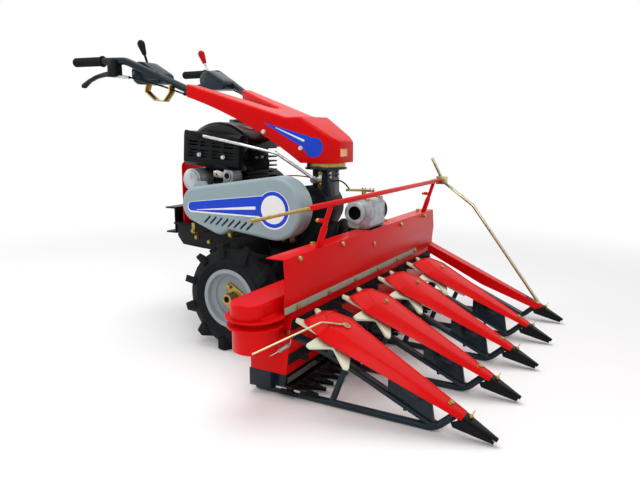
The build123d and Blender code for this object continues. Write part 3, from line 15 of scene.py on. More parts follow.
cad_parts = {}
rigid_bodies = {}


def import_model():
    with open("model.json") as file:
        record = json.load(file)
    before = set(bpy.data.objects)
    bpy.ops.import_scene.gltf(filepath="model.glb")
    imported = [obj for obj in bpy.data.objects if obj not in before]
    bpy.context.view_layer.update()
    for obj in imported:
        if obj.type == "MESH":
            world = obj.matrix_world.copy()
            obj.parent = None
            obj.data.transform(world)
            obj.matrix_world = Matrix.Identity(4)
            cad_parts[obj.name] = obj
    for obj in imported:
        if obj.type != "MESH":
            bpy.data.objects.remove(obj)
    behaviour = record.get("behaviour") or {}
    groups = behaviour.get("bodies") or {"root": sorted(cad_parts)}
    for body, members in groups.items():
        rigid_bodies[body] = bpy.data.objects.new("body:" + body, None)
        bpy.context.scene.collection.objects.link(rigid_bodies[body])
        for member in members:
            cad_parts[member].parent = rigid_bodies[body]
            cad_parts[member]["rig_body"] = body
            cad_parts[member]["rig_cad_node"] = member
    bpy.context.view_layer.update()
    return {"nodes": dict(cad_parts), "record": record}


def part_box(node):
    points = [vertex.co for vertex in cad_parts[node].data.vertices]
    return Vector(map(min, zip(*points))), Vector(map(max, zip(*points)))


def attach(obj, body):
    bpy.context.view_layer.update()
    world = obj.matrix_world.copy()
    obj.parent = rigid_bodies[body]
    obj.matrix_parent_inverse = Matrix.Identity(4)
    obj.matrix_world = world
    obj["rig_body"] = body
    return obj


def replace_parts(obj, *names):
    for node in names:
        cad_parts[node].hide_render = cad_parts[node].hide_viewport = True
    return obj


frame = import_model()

# %% [markdown]
# ## Measuring from the axle
# The machine was drawn from its wheel axle: X forward, Y to the left of the centre plane, Z up from the
# ground. The two tyres tell where that axle stands in the frame, so one short function turns a workshop
# size in millimetres into a place in the scene.

# %% Places in millimetres from the axle
MM = 0.001
right_low, right_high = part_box("tyre_right")
left_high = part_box("tyre_left")[1]
AXLE_X = (right_low[0] + right_high[0]) / 2
MIDDLE_Y = (right_low[1] + left_high[1]) / 2


def spot(x, y, z):
    """A place given in millimetres from the axle, the centre plane and the ground."""
    return Vector((AXLE_X + x * MM, MIDDLE_Y + y * MM, z * MM))


print("axle", round(AXLE_X, 4), "centre plane", round(MIDDLE_Y, 4))

# %% [markdown]
# ## Helpers for materials
# A colour is written as the hex value a painter would pick on screen. Blender's shaders work in linear
# light, so one function converts it. Another adds a node, sets its properties and joins its inputs, which
# keeps each finish readable as a short list of what feeds what. Patterns are given in millimetres.

# %% Colour and node helpers


def linear(code):
    """Linear RGBA from an sRGB hex colour."""
    parts = [int(code[index:index + 2], 16) / 255 for index in (1, 3, 5)]
    steps = [part / 12.92 if part <= 0.04045 else ((part + 0.055) / 1.055) ** 2.4 for part in parts]
    return (*steps, 1.0)


def per_metre(size_mm):
    """Scale of a pattern whose features are this many millimetres wide."""
    return 1 / (size_mm * MM)


def add_node(tree, kind, inputs=None, **settings):
    """Add a node, set its own properties, then set or link its inputs by name or number."""
    node = tree.nodes.new(kind)
    for name, value in settings.items():
        setattr(node, name, value)
    for name, value in (inputs or {}).items():
        socket = node.inputs[name]
        if isinstance(value, bpy.types.NodeSocket):
            tree.links.new(value, socket)
        else:
            socket.default_value = value
    return node


def noise(tree, place, size_mm, detail):
    """A noise pattern whose features are this many millimetres wide."""
    return add_node(tree, "ShaderNodeTexNoise", {"Vector": place, "Scale": per_metre(size_mm),
                                                 "Detail": detail})


def new_finish(name):
    """An empty material: its node tree and the Object coordinates that its patterns read."""
    finish = bpy.data.materials.new(name)
    finish.use_nodes = True
    tree = finish.node_tree
    tree.nodes.clear()
    place = add_node(tree, "ShaderNodeTexCoord").outputs["Object"]
    return finish, tree, place


def close_finish(tree, inputs):
    """Give a material its surface shader and its output."""
    shader = add_node(tree, "ShaderNodeBsdfPrincipled", inputs)
    add_node(tree, "ShaderNodeOutputMaterial", {"Surface": shader.outputs["BSDF"]})


# %% [markdown]
# ## Sprayed enamel
# Most of the machine is sheet steel and castings under sprayed enamel. To the eye that is one strong
# colour that drifts a little where the coat is thicker, a clear gloss, and the faint dimpling that
# painters call orange peel. Dimples of 1 mm are too fine for the picture, so they are drawn at 5 mm.

# %% Enamel paints


DRIFT_MM = 140
HAZE_MM = 45
DIMPLE_MM = 5
PEEL = 0.05
PLASTIC_IOR = 1.5


def sprayed_enamel(name, colour, thick_colour, roughness, coat):
    """Enamel in one colour that deepens where the coat is thick, with orange peel in its gloss."""
    finish, tree, place = new_finish(name)
    drift = noise(tree, place, DRIFT_MM, 4.0)
    paint = add_node(tree, "ShaderNodeMix", {0: drift.outputs[0], 6: linear(colour), 7: linear(thick_colour)},
                     data_type="RGBA")
    haze = noise(tree, place, HAZE_MM, 6.0)
    dull = add_node(tree, "ShaderNodeMapRange", {"Value": haze.outputs[0], "To Min": roughness - 0.05,
                                                 "To Max": roughness + 0.07})
    dimple = noise(tree, place, DIMPLE_MM, 1.0)
    bump = add_node(tree, "ShaderNodeBump", {"Strength": PEEL, "Distance": 0.4 * MM,
                                             "Height": dimple.outputs[0]})
    close_finish(tree, {"Base Color": paint.outputs[2], "Roughness": dull.outputs[0], "IOR": PLASTIC_IOR,
                        "Specular IOR Level": 0.08, "Coat Weight": coat, "Coat Roughness": 0.08,
                        "Normal": bump.outputs[0]})
    return finish


red_enamel = sprayed_enamel("red_sprayed_enamel", "#E10B0C", "#CE070A", 0.30, 0.03)
black_enamel = sprayed_enamel("black_sprayed_enamel", "#111315", "#0B0C0E", 0.36, 0.05)
slate_enamel = sprayed_enamel("slate_sprayed_enamel", "#22303A", "#18232A", 0.30, 0.25)
rim_enamel = sprayed_enamel("grey_rim_enamel", "#9EAAB0", "#8F9BA1", 0.42, 0.1)
strip_enamel = sprayed_enamel("grey_strip_enamel", "#A3AA98", "#8C9384", 0.40, 0.1)
grey_cover_enamel = sprayed_enamel("grey_cover_enamel", "#97ABB0", "#8DA1A6", 0.33, 0.2)
print("enamels", [item.name for item in bpy.data.materials if item.name.endswith("enamel")])

# %% [markdown]
# ## Rubber and moulded plastic
# Tyres and grips are carbon-filled rubber: very dark, never quite black, with a dry bloom that lifts the
# colour in patches. Lever bodies are glass-filled nylon with a spark-eroded grain of about 1 mm, drawn at
# 2.5 mm so that it shows, and the engine's cowl is a smoother, glossy moulding. The star wheels are natural
# nylon, ivory and waxy.

# %% Rubber and nylon


def moulded(name, colour, bloom_colour, roughness, grain_mm, grain, patch_mm=60, gloss=0.08):
    """A moulded surface: two tones in soft patches under a fine grain."""
    finish, tree, place = new_finish(name)
    patch = noise(tree, place, patch_mm, 5.0)
    tone = add_node(tree, "ShaderNodeMix", {0: patch.outputs[0], 6: linear(colour), 7: linear(bloom_colour)},
                    data_type="RGBA")
    dull = add_node(tree, "ShaderNodeMapRange", {"Value": patch.outputs[0], "To Min": roughness - 0.06,
                                                 "To Max": roughness + 0.08})
    grit = noise(tree, place, grain_mm, 3.0)
    bump = add_node(tree, "ShaderNodeBump", {"Strength": grain, "Distance": 0.5 * MM,
                                             "Height": grit.outputs[0]})
    close_finish(tree, {"Base Color": tone.outputs[2], "Roughness": dull.outputs[0], "IOR": PLASTIC_IOR,
                        "Specular IOR Level": gloss, "Normal": bump.outputs[0]})
    return finish


tyre_rubber = moulded("carbon_filled_tyre_rubber", "#101214", "#1F2224", 0.66, 3, 0.35)
grip_rubber = moulded("soft_grip_rubber", "#0E0F10", "#191A1B", 0.60, 2, 0.25, 25)
belt_rubber = moulded("reinforced_belt_rubber", "#161717", "#222322", 0.70, 3, 0.3)
black_nylon = moulded("glass_filled_black_nylon", "#0D0F10", "#16181A", 0.40, 2.5, 0.18)
gloss_black = moulded("gloss_black_moulding", "#0B0D0E", "#131517", 0.20, 4, 0.05, 80, 0.3)
ivory_nylon = moulded("natural_ivory_nylon", "#E3E4CB", "#D3D5B6", 0.46, 6, 0.06, 90)
red_plastic = moulded("red_knob_phenolic", "#C4161A", "#A81216", 0.28, 6, 0.04)
print("rubbers and plastics, from", tyre_rubber.name, "to", red_plastic.name)

# %% [markdown]
# ## Bare and plated metals
# Castings keep the grain of their sand mould. Bright zinc is grey and slightly cloudy. Yellow zinc is the
# same plating passed through chromate: gold that slides towards pink and green over a centimetre or so.
# The knife is dark ground steel with a fine grain.

# %% Metals


TONE_STOPS = (0.36, 0.5, 0.64)


def plated(name, tones, roughness, patch_mm, grain_mm, grain, metallic=1.0):
    """A metal whose colour wanders through three tones, with its own grain."""
    finish, tree, place = new_finish(name)
    patch = noise(tree, place, patch_mm, 3.0)
    ramp = add_node(tree, "ShaderNodeValToRGB", {"Fac": patch.outputs[0]})
    ramp.color_ramp.elements.new(TONE_STOPS[1])
    for element, position, tone in zip(ramp.color_ramp.elements, TONE_STOPS, tones):
        element.position = position
        element.color = linear(tone)
    dull = add_node(tree, "ShaderNodeMapRange", {"Value": patch.outputs[0], "To Min": roughness - 0.08,
                                                 "To Max": roughness + 0.08})
    grit = noise(tree, place, grain_mm, 4.0)
    bump = add_node(tree, "ShaderNodeBump", {"Strength": grain, "Distance": 0.5 * MM,
                                             "Height": grit.outputs[0]})
    close_finish(tree, {"Base Color": ramp.outputs[0], "Roughness": dull.outputs[0], "Metallic": metallic,
                        "Specular IOR Level": 0.1, "Normal": bump.outputs[0]})
    return finish


cast_alloy = plated("sand_cast_aluminium", ("#8F9597", "#A7ADAF", "#B9BEBF"), 0.48, 35, 2.5, 0.30, 0.75)
black_casting = plated("black_painted_casting", ("#0D0F11", "#131618", "#1A1D1F"), 0.44, 30, 3, 0.30, 0.0)
yellow_zinc = plated("yellow_chromate_zinc", ("#8F8A45", "#AD9550", "#A8805A"), 0.30, 14, 3, 0.06)
pale_zinc = plated("pale_chromate_zinc", ("#A5A384", "#C2BD98", "#B7A683"), 0.30, 16, 3, 0.06)
bright_zinc = plated("bright_zinc_plate", ("#A9ADAC", "#C2C5C4", "#D3D5D3"), 0.32, 12, 3, 0.06)
brass = plated("turned_brass", ("#B98F35", "#CFA648", "#DDBB66"), 0.26, 10, 2, 0.05)
knife_steel = plated("ground_knife_steel", ("#1D1E20", "#2B2D30", "#3A3C3F"), 0.36, 18, 2, 0.12)
print("metals, from", cast_alloy.name, "to", knife_steel.name)

# %% [markdown]
# ## Printed film
# The bands on the hood and on the belt cover are printed film: flat colour under a clear gloss, laid on
# after painting. Film is 0.1 mm thick, so each layer is drawn 0.3 mm thick to keep its edge. The amber
# reflector is clear plastic over small prisms about 4 mm wide.

# %% Film and reflector


INK_MM = 50
PRISM_MM = 4


def printed_film(name, colour, faded_colour):
    """Flat ink that fades a little in patches, under a clear gloss."""
    finish, tree, place = new_finish(name)
    ink = noise(tree, place, INK_MM, 3.0)
    tone = add_node(tree, "ShaderNodeMix", {0: ink.outputs[0], 6: linear(colour), 7: linear(faded_colour)},
                    data_type="RGBA")
    dull = add_node(tree, "ShaderNodeMapRange", {"Value": ink.outputs[0], "To Min": 0.26, "To Max": 0.36})
    close_finish(tree, {"Base Color": tone.outputs[2], "Roughness": dull.outputs[0], "Coat Weight": 0.15,
                        "Specular IOR Level": 0.14, "Coat Roughness": 0.05})
    return finish


blue_film = printed_film("blue_printed_film", "#1748D6", "#133EC2")
white_film = printed_film("white_printed_film", "#F2F4F4", "#E8EBEB")

amber, amber_tree, amber_place = new_finish("amber_reflector_acrylic")
prisms = add_node(amber_tree, "ShaderNodeTexVoronoi", {"Vector": amber_place, "Scale": per_metre(PRISM_MM)})
prism_tone = add_node(amber_tree, "ShaderNodeMix", {0: prisms.outputs["Distance"], 6: linear("#F7B733"),
                                                    7: linear("#E07A14")}, data_type="RGBA")
prism_bump = add_node(amber_tree, "ShaderNodeBump", {"Strength": 0.4, "Distance": 0.6 * MM,
                                                     "Height": prisms.outputs["Distance"]})
close_finish(amber_tree, {"Base Color": prism_tone.outputs[2], "Roughness": 0.16, "Coat Weight": 0.8,
                          "Normal": prism_bump.outputs[0]})
print("film", blue_film.name, white_film.name, "and reflector", amber.name)

# %% [markdown]
# ## Soft edges on the CAD pieces
# A CAD edge is infinitely sharp, and no pressed, cast or painted edge is. Each piece is copied, its loose
# triangles are merged and its flat faces cleaned, and a Bevel modifier rounds the edges by about the sheet's
# thickness. The copy stands for the CAD piece, which stays in the physics model.

# %% Modelling helpers


def fresh():
    """Object mode with nothing selected, so that the next operator acts only on what it adds."""
    if bpy.context.object and bpy.context.object.mode != "OBJECT":
        bpy.ops.object.mode_set(mode="OBJECT")
    bpy.ops.object.select_all(action="DESELECT")


def take(*pieces):
    """Select these pieces only, the last one active."""
    fresh()
    for piece in pieces:
        piece.select_set(True)
    bpy.context.view_layer.objects.active = pieces[-1]


def settle(name, finishes, body, smooth=35):
    """Finish the active piece: place into the mesh, soft shading, finishes, and the body it rides on."""
    piece = bpy.context.object
    if piece.mode != "OBJECT":
        bpy.ops.object.mode_set(mode="OBJECT")
    bpy.ops.object.transform_apply(location=True, rotation=True, scale=True)
    bpy.ops.object.shade_smooth_by_angle(angle=radians(smooth))
    piece.name = name
    piece.data.name = name
    piece.data.materials.clear()
    for finish in finishes:
        piece.data.materials.append(finish)
    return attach(piece, body)


EDGE_ANGLE = 30
MERGE_MM = 0.01
FLAT_ANGLE = 0.5


def round_edges(width_mm, segments=2):
    """Round the active piece's sharp edges with a bevel and keep the result."""
    piece = bpy.context.object
    bevel = piece.modifiers.new("edges", "BEVEL")
    bevel.width = width_mm * MM
    bevel.segments = segments
    bevel.limit_method = "ANGLE"
    bevel.angle_limit = radians(EDGE_ANGLE)
    bpy.ops.object.modifier_apply(modifier=bevel.name)


def soften(node, width_mm, finishes):
    """A copy of a CAD piece with rounded edges, which stands for it."""
    take(frame["nodes"][node])
    bpy.ops.object.duplicate()
    piece = bpy.context.object
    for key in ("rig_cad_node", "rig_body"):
        if key in piece:
            del piece[key]
    piece.parent = None
    bpy.ops.mesh.customdata_custom_splitnormals_clear()
    bpy.ops.object.mode_set(mode="EDIT")
    bpy.ops.mesh.select_all(action="SELECT")
    bpy.ops.mesh.remove_doubles(threshold=MERGE_MM * MM)
    bpy.ops.mesh.dissolve_limited(angle_limit=radians(FLAT_ANGLE))
    bpy.ops.object.mode_set(mode="OBJECT")
    if width_mm:
        round_edges(width_mm)
    body = next(body for body, nodes in frame["record"]["behaviour"]["bodies"].items() if node in nodes)
    settle(node + "_dressed", finishes, body)
    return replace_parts(piece, node)


# %% Soften and paint the pieces
# Each row: finish, bevel width in millimetres, and the pieces that share them.
PAINTED = [
    (red_enamel, 5.0, ("hood",)),
    (red_enamel, 1.0, ("rear_guard", "divider_covers", "drive_cover", "upper_board")),
    (red_enamel, 2.0, ("header_body", "deck_drum", "guide_bar")),
    (black_enamel, 2.0, ("engine_bed", "rear_channel", "muffler_shield", "header_neck", "divider_tips")),
    (slate_enamel, 1.5, ("skids", "divider_arms", "handle_tubes", "column", "frame_beam")),
    (grey_cover_enamel, 2.5, ("belt_cover",)),
    (black_casting, 4.0, ("transmission_case", "engine_block", "fan_housing")),
    (gloss_black, 7.0, ("engine_cowl",)),
    (black_nylon, 3.0, ("lever_clamps",)),
    (black_nylon, 0.6, ("hand_levers",)),
    (grip_rubber, 0, ("control_cables",)),
    (cast_alloy, 2.5, ("header_gearbox", "muffler")),
    (yellow_zinc, 1.0, ("swivel_bracket", "hub_right", "hub_left", "catch")),
    (pale_zinc, 1.0, ("crop_rods",)),
    (bright_zinc, 1.0, ("shift_rod",)),
    (rim_enamel, 1.0, ("rim_right", "rim_left")),
    (tyre_rubber, 5.0, ("tyre_right", "tyre_left")),
    (ivory_nylon, 1.0, ("star_wheel_1", "star_wheel_2", "star_wheel_3", "star_wheel_4")),
    (strip_enamel, 1.0, ("board_strip",)),
    (black_enamel, 1.5, ("cutter_bar",)),
    (knife_steel, 0.4, ("knife",)),
    (belt_rubber, 0.8, ("conveyor_belts",)),
]
dressed = {}
for finish, width, nodes in PAINTED:
    for node in nodes:
        dressed[node] = soften(node, width, [finish])
print("softened", len(dressed), "of", len(frame["nodes"]), "pieces")
print("left as CAD", sorted(set(frame["nodes"]) - set(dressed)))

# %% [markdown]
# ## Two finishes on one piece
# Some pieces are painted in one go and then get a plated rod, a rubber ring or a coloured knob. The faces
# are picked by where they lie, and given the second or third finish of the piece.

# %% Second finishes


def repaint(node, finishes, choose):
    """Give a dressed piece these finishes; choose says which one a face takes from its place in mm."""
    mesh = dressed[node].data
    mesh.materials.clear()
    for finish in finishes:
        mesh.materials.append(finish)
    for face in mesh.polygons:
        x, y, z = (face.center - spot(0, 0, 0)) / MM
        face.material_index = choose(x, y, z)


ROD_START_Y = -602
KNOB_FOOT_Z = 1147
GATE_REAR_X = -572
RUBBER_DISC_Y = 60.5
ADJUSTER_FRONT_X = -531
SHIFT_GRIP_FRONT_X = -223
PORT_AXIS = (384, 524)
PORT_RADIUS = 27
PORT_FROM_Y = -65
repaint("guide_bar", [red_enamel, yellow_zinc], lambda x, y, z: int(y < ROD_START_Y))
# Faces inside the port's bore on the right of the gearbox take the black rubber finish: painted shade for the
# dark inside of the bore.
repaint("header_gearbox", [cast_alloy, grip_rubber],
        lambda x, y, z: int(y > RUBBER_DISC_Y or PORT_FROM_Y < y < 0
                            and hypot(x - PORT_AXIS[0], z - PORT_AXIS[1]) < PORT_RADIUS))
repaint("lever_clamps", [black_nylon, slate_enamel], lambda x, y, z: int(x > GATE_REAR_X))
repaint("hand_levers", [bright_zinc, black_nylon, red_plastic],
        lambda x, y, z: 1 if y < 0 else 0 if z < KNOB_FOOT_Z else 2)
repaint("control_cables", [grip_rubber, bright_zinc], lambda x, y, z: int(x < ADJUSTER_FRONT_X))
repaint("shift_rod", [bright_zinc, grip_rubber], lambda x, y, z: int(x < SHIFT_GRIP_FRONT_X))
print("second finishes on guide bar, gearbox, levers, cables and shift rod")

# %% [markdown]
# ## A stouter crop rod
# The crop rod on the left is a stout bar. A Displace modifier moves its skin out along the normals, and a
# vertex group keeps the thin rod on the right as it is.

# %% Stout rod
STOUT_ROD = 2
rods = dressed["crop_rods"]
left_rod = rods.vertex_groups.new(name="left_rod")
on_left = [vertex.index for vertex in rods.data.vertices if vertex.co.y > spot(0, 0, 0).y]
left_rod.add(on_left, 1, "REPLACE")
take(rods)
thicken = rods.modifiers.new("stout_rod", "DISPLACE")
thicken.mid_level = 0
thicken.strength = STOUT_ROD * MM
thicken.vertex_group = left_rod.name
bpy.ops.object.modifier_apply(modifier=thicken.name)
print("left crop rod thicker by", STOUT_ROD, "mm all round")

# %% [markdown]
# ## Bands of printed film
# The belt cover carries a blue band that widens into a round end, with a plain white disc in it, and the
# hood's sides carry a blue drop with a white line in its tail. Each is drawn from circles: two circles
# wrapped in a convex hull make a tapered bar, and a Boolean union joins the bar to the round end.

# %% Film on the belt cover


def film(name, bars, lift_mm, place, finish, body):
    """A thin sheet made of bars, each wrapped round circles (x, y, radius) in mm on the given plane."""
    whole = None
    for circles in bars:
        discs = []
        for x, y, radius in circles:
            fresh()
            bpy.ops.mesh.primitive_cylinder_add(vertices=72, radius=radius * MM, depth=2 * lift_mm * MM,
                                                location=(x * MM, y * MM, 0))
            discs.append(bpy.context.object)
        take(*discs)
        if len(discs) > 1:
            bpy.ops.object.join()
        bar = bpy.context.object
        bpy.ops.object.transform_apply(location=True)
        bpy.ops.object.mode_set(mode="EDIT")
        bpy.ops.mesh.select_all(action="SELECT")
        bpy.ops.mesh.convex_hull()
        bpy.ops.object.mode_set(mode="OBJECT")
        if whole is None:
            whole = bar
            continue
        take(whole)
        union = whole.modifiers.new("join", "BOOLEAN")
        union.operation = "UNION"
        union.object = bar
        bpy.ops.object.modifier_apply(modifier=union.name)
        bpy.data.objects.remove(bar)
    take(whole)
    whole.matrix_world = place
    return settle(name, [finish], body)


def plane_at(origin, along, up):
    """A drawing plane: x along, y up, z square out of the surface."""
    along, up = Vector(along).normalized(), Vector(up)
    columns = (along, up, along.cross(up), origin)
    return Matrix([[column[row] for column in columns] for row in range(3)] + [[0, 0, 0, 1]])


COVER_FACE_Y = -330
cover_face = plane_at(spot(0, COVER_FACE_Y, 0), (1, 0, 0), (0, 0, 1))
BAND_REAR = (-203, 542, 17)
BAND_FRONT = (128, 561, 37)
BAND_DISC = (178, 551, 66)
BAND_STREAK = [(-178, 530, 1), (96, 553, 6)]
WHITE_DISC_RADIUS = 52
WHITE_EDGE = 4
FILM_LAYERS = (0.3, 0.6, 0.9)
edge = [(x, z - WHITE_EDGE / 2, radius + WHITE_EDGE) for x, z, radius in (BAND_REAR, BAND_FRONT, BAND_DISC)]
low_film, mid_film, top_film = FILM_LAYERS
white_disc = (*BAND_DISC[:2], WHITE_DISC_RADIUS)
film("belt_band_edge", [edge[:2], edge[2:]], low_film, cover_face, white_film, "tractor")
film("belt_band", [[BAND_REAR, BAND_FRONT], [BAND_DISC]], mid_film, cover_face, blue_film, "tractor")
film("belt_band_disc", [[white_disc]], top_film, cover_face, white_film, "tractor")
film("belt_band_streak", [BAND_STREAK], top_film, cover_face, white_film, "tractor")
print("belt cover film laid")

# %% Film on the hood's sides
HOOD_SIDE_FRONT = (278, 86)
HOOD_SIDE_REAR = (-301, 223)
run, spread_out = HOOD_SIDE_FRONT[0] - HOOD_SIDE_REAR[0], HOOD_SIDE_REAR[1] - HOOD_SIDE_FRONT[1]
side_length = hypot(run, spread_out)
side_y_at_axle = HOOD_SIDE_FRONT[1] + HOOD_SIDE_FRONT[0] * spread_out / run
stretch = side_length / run
DROP_HEAD = (215, 769, 38)
DROP_TAIL = ((186, 789, 25), (22, 861, 1.5))
DROP_LINE = ((176, 795, 4), (66, 844, 1.2))
DROP_LIFT = 0.5
LINE_LIFT = 0.8
for side, word in ((-1, "right"), (1, "left")):
    along = (-side * run, spread_out, 0)
    hood_side = plane_at(spot(0, side * side_y_at_axle, 0), along, (0, 0, 1))
    drawn = [[(-side * x * stretch, z, radius) for x, z, radius in circles]
             for circles in (DROP_TAIL, (DROP_HEAD,), DROP_LINE)]
    film(f"hood_drop_{word}", drawn[:2], DROP_LIFT, hood_side, blue_film, "handlebar")
    film(f"hood_line_{word}", drawn[2:], LINE_LIFT, hood_side, white_film, "handlebar")
print("hood film laid, side length", round(side_length), "mm")

# %% [markdown]
# ## Bolts, washers and wing bolts
# A bolt is modelled once: a six-sided cylinder whose top face is inset and raised to make the chamfer, on a
# rounded washer. Every place that needs one gets its own copy, turned to face out of the surface, and the
# copies on one body are joined into one piece.

# %% Bolt and copier


def hex_bolt(flats_mm, head_mm, washer_mm):
    """A hex head on a washer, standing on the origin and pointing up."""
    fresh()
    bpy.ops.mesh.primitive_cylinder_add(vertices=24, radius=washer_mm / 2 * MM, depth=2 * MM,
                                        location=(0, 0, 0.6 * MM))
    washer = bpy.context.object
    round_edges(0.5, 1)
    fresh()
    corner = flats_mm / 2 / cos(radians(30))
    bpy.ops.mesh.primitive_cylinder_add(vertices=6, radius=corner * MM, depth=head_mm * MM,
                                        location=(0, 0, (1.5 + head_mm / 2) * MM))
    head = bpy.context.object
    for face in head.data.polygons:
        face.select = face.normal.z > 0.9
    bpy.ops.object.mode_set(mode="EDIT")
    bpy.ops.mesh.inset(thickness=0.1 * flats_mm * MM, depth=0.12 * head_mm * MM)
    bpy.ops.object.mode_set(mode="OBJECT")
    round_edges(0.3, 1)
    take(washer, head)
    bpy.ops.object.join()
    bpy.ops.object.transform_apply(location=True)
    return bpy.context.object


def copies(pattern, name, places, finish, body):
    """Copies of a pattern at (point in mm, direction) places, joined into one piece on a body."""
    made = []
    for point, aim in places:
        take(pattern)
        bpy.ops.object.duplicate()
        copy = bpy.context.object
        copy.location = spot(*point)
        copy.rotation_euler = Vector(aim).to_track_quat("Z", "Y").to_euler()
        made.append(copy)
    take(*made)
    if len(made) > 1:
        bpy.ops.object.join()
    return settle(name, [finish], body)


# %% Bolts in place
COVER_SLOPE = radians(27.4)
COVER_AXIS = (611, 262)
COVER_LENGTH = 413
COVER_BOLTS = (0, 366)
DIVIDER_YS = [-600, -300, 0, 300, 600]
cover_up = (sin(COVER_SLOPE), 0, cos(COVER_SLOPE))


def on_cover(distance, y):
    """A place on a divider cover's top, this far in front of its star wheel's axis."""
    return (COVER_AXIS[0] + distance * cos(COVER_SLOPE), y, COVER_AXIS[1] - distance * sin(COVER_SLOPE))


def hood_side_bolt(x, z, side):
    """Place and direction of a bolt on the hood's side."""
    y = side * (side_y_at_axle - x * spread_out / run)
    return ((x, y, z), (spread_out, side * run, 0))


bolt_m10 = hex_bolt(16, 7, 24)
bolt_m8 = hex_bolt(13, 5.5, 18)
cover_bolts = [(on_cover(distance, y), cover_up) for y in DIVIDER_YS[:-1] for distance in COVER_BOLTS]
copies(bolt_m8, "cover_bolts", cover_bolts, yellow_zinc, "tractor")
STRIP_FACE = (457, 305)
STRIP_BOLT_YS = range(-622, 390, 200)
strip_bolts = [((STRIP_FACE[0], y, STRIP_FACE[1]), (1, 0, 0)) for y in STRIP_BOLT_YS]
copies(bolt_m8, "strip_bolts", strip_bolts, yellow_zinc, "tractor")
HOOD_BOLTS = ((16, 828), (164, 766))
hood_bolts = [hood_side_bolt(x, z, side) for side in (-1, 1) for x, z in HOOD_BOLTS]
copies(bolt_m8, "hood_bolts", hood_bolts, bright_zinc, "handlebar")
CHANNEL_FACE_X = -504
channel_bolts = [((CHANNEL_FACE_X, y, z), (-1, 0, 0)) for y in (-70, 70) for z in (412, 462)]
copies(bolt_m8, "channel_bolts", channel_bolts, yellow_zinc, "tractor")
RAIL_FACE_Y = 78
RAIL_BOLT_Z = 396
RAIL_BOLT_XS = (-420, -230, 60, 104)
rail_bolts = [((x, side * RAIL_FACE_Y, RAIL_BOLT_Z), (0, side, 0)) for side in (-1, 1) for x in RAIL_BOLT_XS]
copies(bolt_m10, "rail_bolts", rail_bolts, yellow_zinc, "tractor")
AXLE_Z = 206
HUB_FACE_Y = 340.5
HUB_BOLT_CIRCLE = 44
for side, word in ((-1, "right"), (1, "left")):
    ring = []
    for turn in (radians(0), radians(120), radians(240)):
        x, z = HUB_BOLT_CIRCLE * cos(turn), AXLE_Z + HUB_BOLT_CIRCLE * sin(turn)
        ring.append(((x, side * HUB_FACE_Y, z), (0, side, 0)))
    copies(bolt_m10, f"hub_bolts_{word}", ring, yellow_zinc, f"wheel_{word}")
bolt_m6 = hex_bolt(10, 4, 13)
SHIELD_BOLTS = [(-262, -205, 737), (-140, -205, 728)]
copies(bolt_m8, "shield_bolts", [(place, (0, -1, 0)) for place in SHIELD_BOLTS], bright_zinc, "tractor")
BOARD_FACE_X = 452
BOARD_BOLTS = [(-602, 451), (-318, 450), (-57, 410), (220, 446), (509, 448)]
board_bolts = [((BOARD_FACE_X, y, z), (1, 0, 0)) for y, z in BOARD_BOLTS]
copies(bolt_m8, "board_bolts", board_bolts, yellow_zinc, "tractor")
FLANGE_TOP = (398, 462)
FLANGE_BOLT_YS = (-428, 180, 567)
flange_bolts = [((FLANGE_TOP[0], y, FLANGE_TOP[1]), (0, 0, 1)) for y in FLANGE_BOLT_YS]
copies(bolt_m8, "flange_bolts", flange_bolts, yellow_zinc, "tractor")
END_BOLT = (426, 632, 222)
end_bolts = [((END_BOLT[0], side * END_BOLT[1], END_BOLT[2]), (0, side, 0)) for side in (-1, 1)]
copies(bolt_m8, "end_bolts", end_bolts, yellow_zinc, "tractor")
COLUMN_FACE_X = 249
column_screws = [((COLUMN_FACE_X, y, z), (1, 0, 0)) for y in (-34, 34) for z in (652, 668)]
copies(bolt_m6, "column_screws", column_screws, bright_zinc, "tractor")
print("bolts set:", len(cover_bolts), "on the covers")

# %% [markdown]
# ## Plates, straps and small castings
# A sheet part is drawn the way it is cut: its corners are set on a flat ring of points, the ring is extruded
# to the sheet's thickness, and a bevel takes the burr off. The same function cuts the side plates of the
# engine bed, the straps under the belt cover, the governor plate and the carburettor's body.

# %% Cut plates


def cut_plate(corners, low, high):
    """A plate with these (x, z) corners in mm that reaches from low to high in Y, left active."""
    fresh()
    bpy.ops.mesh.primitive_circle_add(vertices=len(corners), fill_type="NGON")
    piece = bpy.context.object
    for vertex, (x, z) in zip(piece.data.vertices, corners):
        vertex.co = spot(x, low, z)
    bpy.ops.object.mode_set(mode="EDIT")
    bpy.ops.mesh.select_all(action="SELECT")
    bpy.ops.mesh.extrude_region_move(TRANSFORM_OT_translate={"value": (0, (high - low) * MM, 0)})
    bpy.ops.mesh.select_all(action="SELECT")
    bpy.ops.mesh.normals_make_consistent(inside=False)
    bpy.ops.object.mode_set(mode="OBJECT")
    return piece


def box_corners(x_span, z_span):
    """The four corners of an upright rectangle."""
    return [(x_span[0], z_span[0]), (x_span[1], z_span[0]), (x_span[1], z_span[1]), (x_span[0], z_span[1])]


BED_PLATE = [(-470, 424), (-470, 372), (-440, 336), (-330, 328), (-200, 322), (20, 300), (20, 424)]
BED_EDGE_Y = 120
PLATE_SHEET = 5
for side, word in ((-1, "right"), (1, "left")):
    cut_plate(BED_PLATE, side * BED_EDGE_Y, side * (BED_EDGE_Y + PLATE_SHEET))
    round_edges(1.2)
    settle(f"bed_plate_{word}", [black_enamel], "tractor")
BED_PLATE_BOLTS = ((-362, 374), (-292, 360))
plate_face_y = BED_EDGE_Y + PLATE_SHEET
plate_bolts = [((x, side * plate_face_y, z), (0, side, 0)) for side in (-1, 1) for x, z in BED_PLATE_BOLTS]
copies(bolt_m8, "bed_plate_bolts", plate_bolts, yellow_zinc, "tractor")
print("bed plates with", len(plate_bolts), "bolts")

